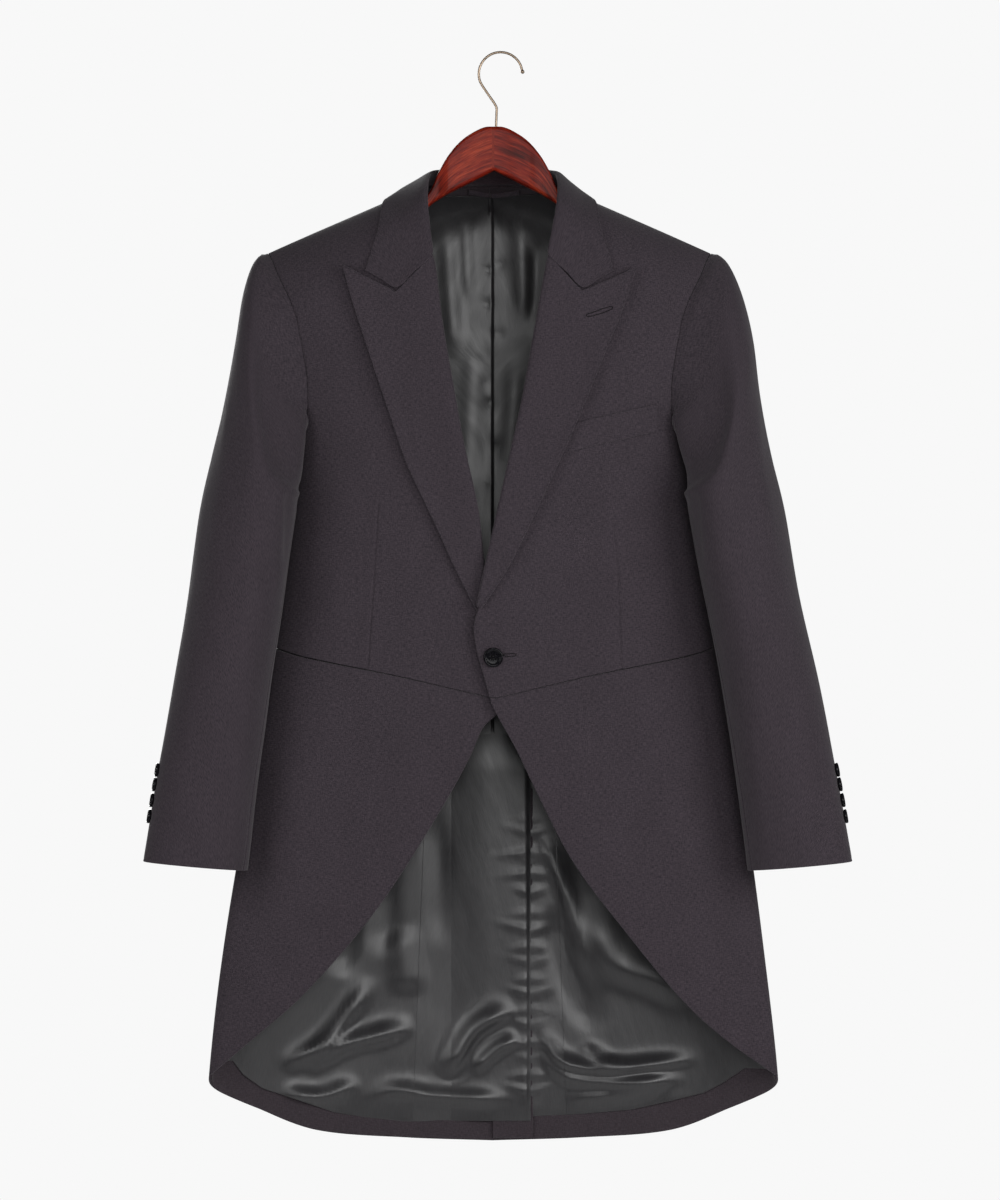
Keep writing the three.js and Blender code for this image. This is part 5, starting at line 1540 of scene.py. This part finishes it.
def barSection(high, low, depth):
    # a flat bar with bevelled corners, as points round it from the middle of its front
    half, middle = (high - low) / 2, (high + low) / 2
    bevel = min(hanger["bevel"], half * 0.45, depth * 0.45)
    corner = [(-depth, half - bevel), (-depth + bevel * 0.3, half - bevel * 0.3), (-depth + bevel, half)]
    shape = [(-depth, 0), *corner, (0, half)]
    shape += [(-y, z) for y, z in shape[-2::-1]]
    shape += [(y, -z) for y, z in shape[-2:0:-1]]
    line = through([*shape, shape[0]], True)
    corners = along(np.array([*shape, shape[0]], float))
    corners /= corners[-1]
    shares = np.unique(np.concatenate([np.linspace(0, 1, 41)[:-1], corners[:-1]]).round(6))
    return line(shares), middle, shares


def makeHanger():
    table, end = hanger["arm"], hanger["arm"][-1, 0]
    closingAt = 1 - np.sin(np.linspace(0.25, 1, hanger["endSteps"]) * math.pi / 2)
    half = np.concatenate([np.linspace(0, end - hanger["endRound"], hanger["steps"]),
                           end - hanger["endRound"] * closingAt])
    outs = np.concatenate([-half[:0:-1], half])
    around = np.linspace(0, 1, hanger["sides"], endpoint=False)
    rings = []
    for out in outs:
        high, low, depth = (sample(abs(out), table[:, 0], table[:, k]) for k in (1, 2, 3))
        left = (end - abs(out)) / hanger["endRound"]
        closing = 1 if left >= 1 else 0.45 + 0.55 * math.sqrt(max(1 - (1 - left) ** 2, 0))
        section, middle, shares = barSection(high, low, depth)
        ring = columnsAt(around, np.append(shares, 1), np.vstack([section, section[:1]])) * closing
        rings.append(np.stack([np.full(len(ring), hanger["middleX"] + out), hanger["middleY"] + ring[:, 0],
                               middle + ring[:, 1]], -1))
    rings = np.array(rings)
    centre = rings.mean(1)
    reach = along(centre)
    reach -= reach[len(reach) // 2]
    drop = rings[..., 2] - centre[:, None, 2]
    uvs = np.stack([np.repeat(reach[:, None], rings.shape[1], 1), drop + rings[..., 1] * 0.6], -1) / 1000
    uvs[reach < 0] += hanger["boardShift"]
    rows, sides = rings.shape[:2]
    faces = gridFaces(rows, sides, closed=True).tolist()
    faces += [list(range(sides)), list(range((rows - 1) * sides, rows * sides))[::-1]]
    piece = meshFrom("hangerMahogany", rings.reshape(-1, 3), np.array(faces, dtype=object),
                     uvs.reshape(-1, 2), mahogany)
    outwards(piece.data)
    hang(piece, ["hanger_body"])


def outwards(mesh):
    # turns a closed mesh's faces to look outwards
    volume = 0.0
    for face in mesh.polygons:
        volume += face.center.dot(face.normal) * face.area
    if volume < 0:
        mesh.flip_normals()


def makeHook():
    middleAt = hookCrown[2] + hook["wireRadius"] - hook["bendRadius"]
    middle = np.array([hookCrown[0], hanger["middleY"], middleAt])
    angles = np.radians(np.linspace(hook["tipAngle"], hook["heelAngle"], hook["bendSteps"]))
    bend = middle + hook["bendRadius"] * np.stack([np.cos(angles), 0 * angles, np.sin(angles)], -1)
    foot = hanger["arm"][0, 1] + hook["seat"]
    elbow = np.array([hanger["middleX"] + hook["stemX"], hanger["middleY"], foot + hook["stemHeight"]])
    stem = [lerp(bend[-1], elbow, 0.5), lerp(bend[-1], elbow, 0.9), elbow + (hook["elbowX"], 0, -2.5),
            elbow + (hook["elbowX"], 0, -9), (elbow[0], elbow[1], foot - hook["sunk"])]
    path = smoothline([*bend[::6], *stem], 8)
    way = unit(path[0] - path[1])
    # the ball at the tip
    ball = [path[0] + way * hook["ballRadius"] * (0.85 - at) for at in hook["ballShares"]]
    radii = [hook["ballRadius"] * math.sqrt(1 - at * at) for at in hook["ballShares"]]
    radii += [hook["wireRadius"]] * len(path)
    verts, faces = [], []
    sides = hook["sides"]
    tube(np.array([*ball, *path]), np.array(radii), sides, verts, faces)
    verts = np.array(verts)
    rows = (len(verts) - 2) // sides
    uvs = np.zeros((len(verts), 2))
    uvs[:-2, 0] = np.repeat(np.arange(rows), sides) * 0.001
    uvs[:-2, 1] = np.tile(np.arange(sides), rows) * 0.0004
    piece = meshFrom("hangerHookWire", verts, np.array(faces, dtype=object), uvs, nickel)
    outwards(piece.data)
    hang(piece, ["hanger_hook"])


makeHanger()
makeHook()
print("hanger and hook made")


# ---- sewing: pick stitches along the edges, and the worked buttonholes

sewing = {
    "edge": {"inside": 2.9, "pitch": 5.8, "long": 1.9, "thick": 0.5},
    "worked": {"pitch": 0.62, "long": 0.5, "thick": 1.15},
    "seed": 7,
    # the columns of the lapel and the collar that are clear of the roll
    "lapelFrom": 30, "lapelHoleFrom": 20, "collarFrom": 22,
    # where each buttonhole starts and ends as seen from the front, and its width
    "frontHole": ((15.5, 514), (27, 514), 2.0), "lapelHole": ((102, 867), (127, 875), 2.6),
}


def stitchTree(finish):
    tree = bpy.data.node_groups.new("handStitches", "GeometryNodeTree")
    face = tree.interface
    face.new_socket("Path", in_out="INPUT", socket_type="NodeSocketGeometry")
    ids = {}
    for name in ("Pitch", "Stitch Length", "Thread Width"):
        ids[name] = face.new_socket(name, in_out="INPUT", socket_type="NodeSocketFloat").identifier
    face.new_socket("Stitches", in_out="OUTPUT", socket_type="NodeSocketGeometry")
    given = addNode(tree, "NodeGroupInput")
    line = addNode(tree, "GeometryNodeMeshToCurve", None, {"Mesh": given.outputs["Path"]})
    spots = addNode(tree, "GeometryNodeCurveToPoints", {"mode": "LENGTH"},
                    {"Curve": line.outputs["Curve"], "Length": given.outputs["Pitch"]})
    stitch = addNode(tree, "GeometryNodeMeshUVSphere", None, {"Segments": 6, "Rings": 4, "Radius": 0.5})
    uneven = addNode(tree, "FunctionNodeRandomValue", {"data_type": "FLOAT"},
                     {2: 0.8, 3: 1.2, "Seed": sewing["seed"]})
    long = addNode(tree, "ShaderNodeMath", {"operation": "MULTIPLY"},
                   {0: given.outputs["Stitch Length"], 1: uneven.outputs[1]})
    size = addNode(tree, "ShaderNodeCombineXYZ", None,
                   {"X": given.outputs["Thread Width"], "Y": given.outputs["Thread Width"],
                    "Z": long.outputs[0]})
    placed = addNode(tree, "GeometryNodeInstanceOnPoints", None,
                     {"Points": spots.outputs["Points"], "Instance": stitch.outputs["Mesh"],
                      "Rotation": spots.outputs["Rotation"], "Scale": size.outputs["Vector"]})
    real = addNode(tree, "GeometryNodeRealizeInstances", None, {"Geometry": placed.outputs["Instances"]})
    dressed = addNode(tree, "GeometryNodeSetMaterial", None,
                      {"Geometry": real.outputs["Geometry"], "Material": finish})
    addNode(tree, "NodeGroupOutput", None, {"Stitches": dressed.outputs["Geometry"]})
    return tree, ids


def sew(name, paths, kind, finish):
    size = sewing[kind]
    verts, edges = [], []
    for path in paths:
        base = len(verts)
        verts += ((np.asarray(path) - hookCrown) / 1000).tolist()
        edges += [(base + i, base + i + 1) for i in range(len(path) - 1)]
    mesh = bpy.data.meshes.new(name)
    mesh.from_pydata(verts, edges, [])
    guide = stand(name + "Guide", mesh)
    tree, ids = stitchTree(finish)
    modifier = guide.modifiers.new("stitches", "NODES")
    modifier.node_group = tree
    modifier[ids["Pitch"]] = size["pitch"] / 1000
    modifier[ids["Stitch Length"]] = size["long"] / 1000
    modifier[ids["Thread Width"]] = size["thick"] / 1000
    made = bpy.data.meshes.new_from_object(guide.evaluated_get(bpy.context.evaluated_depsgraph_get()))
    bpy.data.objects.remove(guide)
    plainPiece(name, made, finish, [])


def lineInside(face, side, inside, start=0.0, end=1.0):
    # a line on a piece's face at a distance from one of its sides, over part of its length
    away = distances(face)[side]
    if side in ("top", "bottom"):
        face, away = face.transpose(1, 0, 2), away.T
    if away[0, 0] > away[0, -1]:
        face, away = face[:, ::-1], away[:, ::-1]
    line = np.array([columnsAt(inside, row, spots) for row, spots in zip(away, face)])
    length = along(line)
    keep = (length >= start * length[-1]) & (length <= end * length[-1])
    return line[keep]


def onFace(face, x, height):
    # the face's own depth at a place seen from the front
    flat = face.reshape(-1, 3)
    near = np.argsort((flat[:, 0] - x) ** 2 + (flat[:, 2] - height) ** 2)[:4]
    far = np.linalg.norm(flat[near][:, [0, 2]] - (x, height), axis=1) + 1e-3
    return np.array([x, np.average(flat[near, 1], weights=1 / far), height])


def holePath(face, start, end, wide):
    # once round a buttonhole
    start, end = np.array(start, float), np.array(end, float)
    way = unit(end - start)
    side, tip = np.array([-way[1], way[0]]) * wide / 2, way * wide / 2
    corners = [start + side, end + side, end + tip, end - side, start - side, start - tip, start + side]
    return np.array([onFace(face, *spot) for spot in smoothline(corners, 6)]) - (0, 0.15, 0)


def makeSewing():
    inside = sewing["edge"]["inside"]
    paths = []
    for side in signOf:
        paths.append(lineInside(lapels[side], "end", inside, 0.01, 0.99))
        paths.append(lineInside(lapels[side][:, sewing["lapelFrom"]:], "top", inside, 0.55, 0.98))
        paths.append(lineInside(skirts[side], "start", inside))
        paths.append(lineInside(foreparts[side], "start", inside, 0.86, 1.0))
    fall = collarFace[:, sewing["collarFrom"]:]
    paths.append(lineInside(collarFace, "end", inside))
    paths.append(lineInside(fall, "top", inside, 0.4))
    paths.append(lineInside(fall, "bottom", inside, 0.4))
    sew("pickStitches", paths, "edge", silk)
    holes = [holePath(foreparts["left"], *sewing["frontHole"]),
             holePath(lapels["left"][:, sewing["lapelHoleFrom"]:], *sewing["lapelHole"])]
    sew("workedButtonholes", holes, "worked", blackSilk)


makeSewing()
print("sewing done")


# ---- light, floor and camera

studio = {"backdrop": "#f8f8f8", "floorRadius": 1.5, "floorBelow": 0.427, "floorSides": 96,
          "lens": 180.0, "sensor": 36.0, "reach": 60, "distance": 6.3, "aimX": -0.0006, "aimZ": -0.5739,
          "roomLow": (0.05, 0.05, 0.05, 1.0), "roomHigh": (0.1, 0.1, 0.103, 1.0),
          # place, aim, width, height and watts
          "boxes": {"keyBox": ((1.5, -1.3, -0.3), (0, 0, -0.45), 0.9, 1.0, 20),
                    "fillBox": ((-1.35, -1.3, -0.36), (0, 0, -0.47), 0.9, 1.0, 11.5),
                    "lensBox": ((0.75, -4.4, 0.2), (0, 0, -0.4), 2.5, 1.9, 70),
                    "backBox": ((-0.6, 2.8, 0.2), (0, 0, -0.5), 1.8, 2.0, 90)}}


def makeStudio():
    world = bpy.data.worlds.new("paleStudio")
    bpy.context.scene.world = world
    world.use_nodes = True
    tree = world.node_tree
    tree.nodes.clear()
    seenDirectly = addNode(tree, "ShaderNodeLightPath").outputs["Is Camera Ray"]
    pale = addNode(tree, "ShaderNodeBackground", None, {"Color": srgb(studio["backdrop"]), "Strength": 1.0})
    place = addNode(tree, "ShaderNodeTexCoord").outputs["Generated"]
    upward = addNode(tree, "ShaderNodeSeparateXYZ", None, {"Vector": place}).outputs["Z"]
    above = ranged(tree, upward, -1.0, 1.0, 0.0, 1.0)
    room = mixed(tree, "MIX", above, studio["roomLow"], studio["roomHigh"])
    dim = addNode(tree, "ShaderNodeBackground", None, {"Color": room, "Strength": 1.0})
    both = addNode(tree, "ShaderNodeMixShader", None,
                   {0: seenDirectly, 1: dim.outputs[0], 2: pale.outputs[0]})
    addNode(tree, "ShaderNodeOutputWorld", None, {"Surface": both.outputs[0]})
    bpy.context.scene.view_settings.view_transform = "Standard"

    def softbox(name, place, aim, width, height, power):
        light = bpy.data.lights.new(name, "AREA")
        light.shape, light.size, light.size_y, light.energy = "RECTANGLE", width, height, power
        box = stand(name, light)
        box.location = place
        box.visible_camera = False
        box.rotation_mode = "QUATERNION"
        box.rotation_quaternion = (Vector(aim) - Vector(place)).to_track_quat("-Z", "Y")

    for name, facts in studio["boxes"].items():
        softbox(name, *facts)
    floorAt = float(cadBox[0][2]) - studio["floorBelow"]
    angles = np.linspace(0, 2 * math.pi, studio["floorSides"], endpoint=False)
    ring = np.stack([np.cos(angles), np.sin(angles)], -1) * studio["floorRadius"]
    verts = [(x, y, floorAt) for x, y in ring.tolist()]
    mesh = bpy.data.meshes.new("studioFloor")
    mesh.from_pydata(verts, [], [list(range(len(verts)))])
    mesh.materials.append(floorPaint)
    floor = stand("studioFloor", mesh)

    camera = bpy.data.cameras.new("studioCamera")
    camera.lens, camera.sensor_width = studio["lens"], studio["sensor"]
    viewer = stand("studioCamera", camera)
    viewer.location = (studio["aimX"], -studio["distance"], studio["aimZ"])
    viewer.rotation_euler = (math.pi / 2, 0, 0)
    camera.clip_end = studio["reach"]
    bpy.context.scene.camera = viewer


makeStudio()
print("studio made")
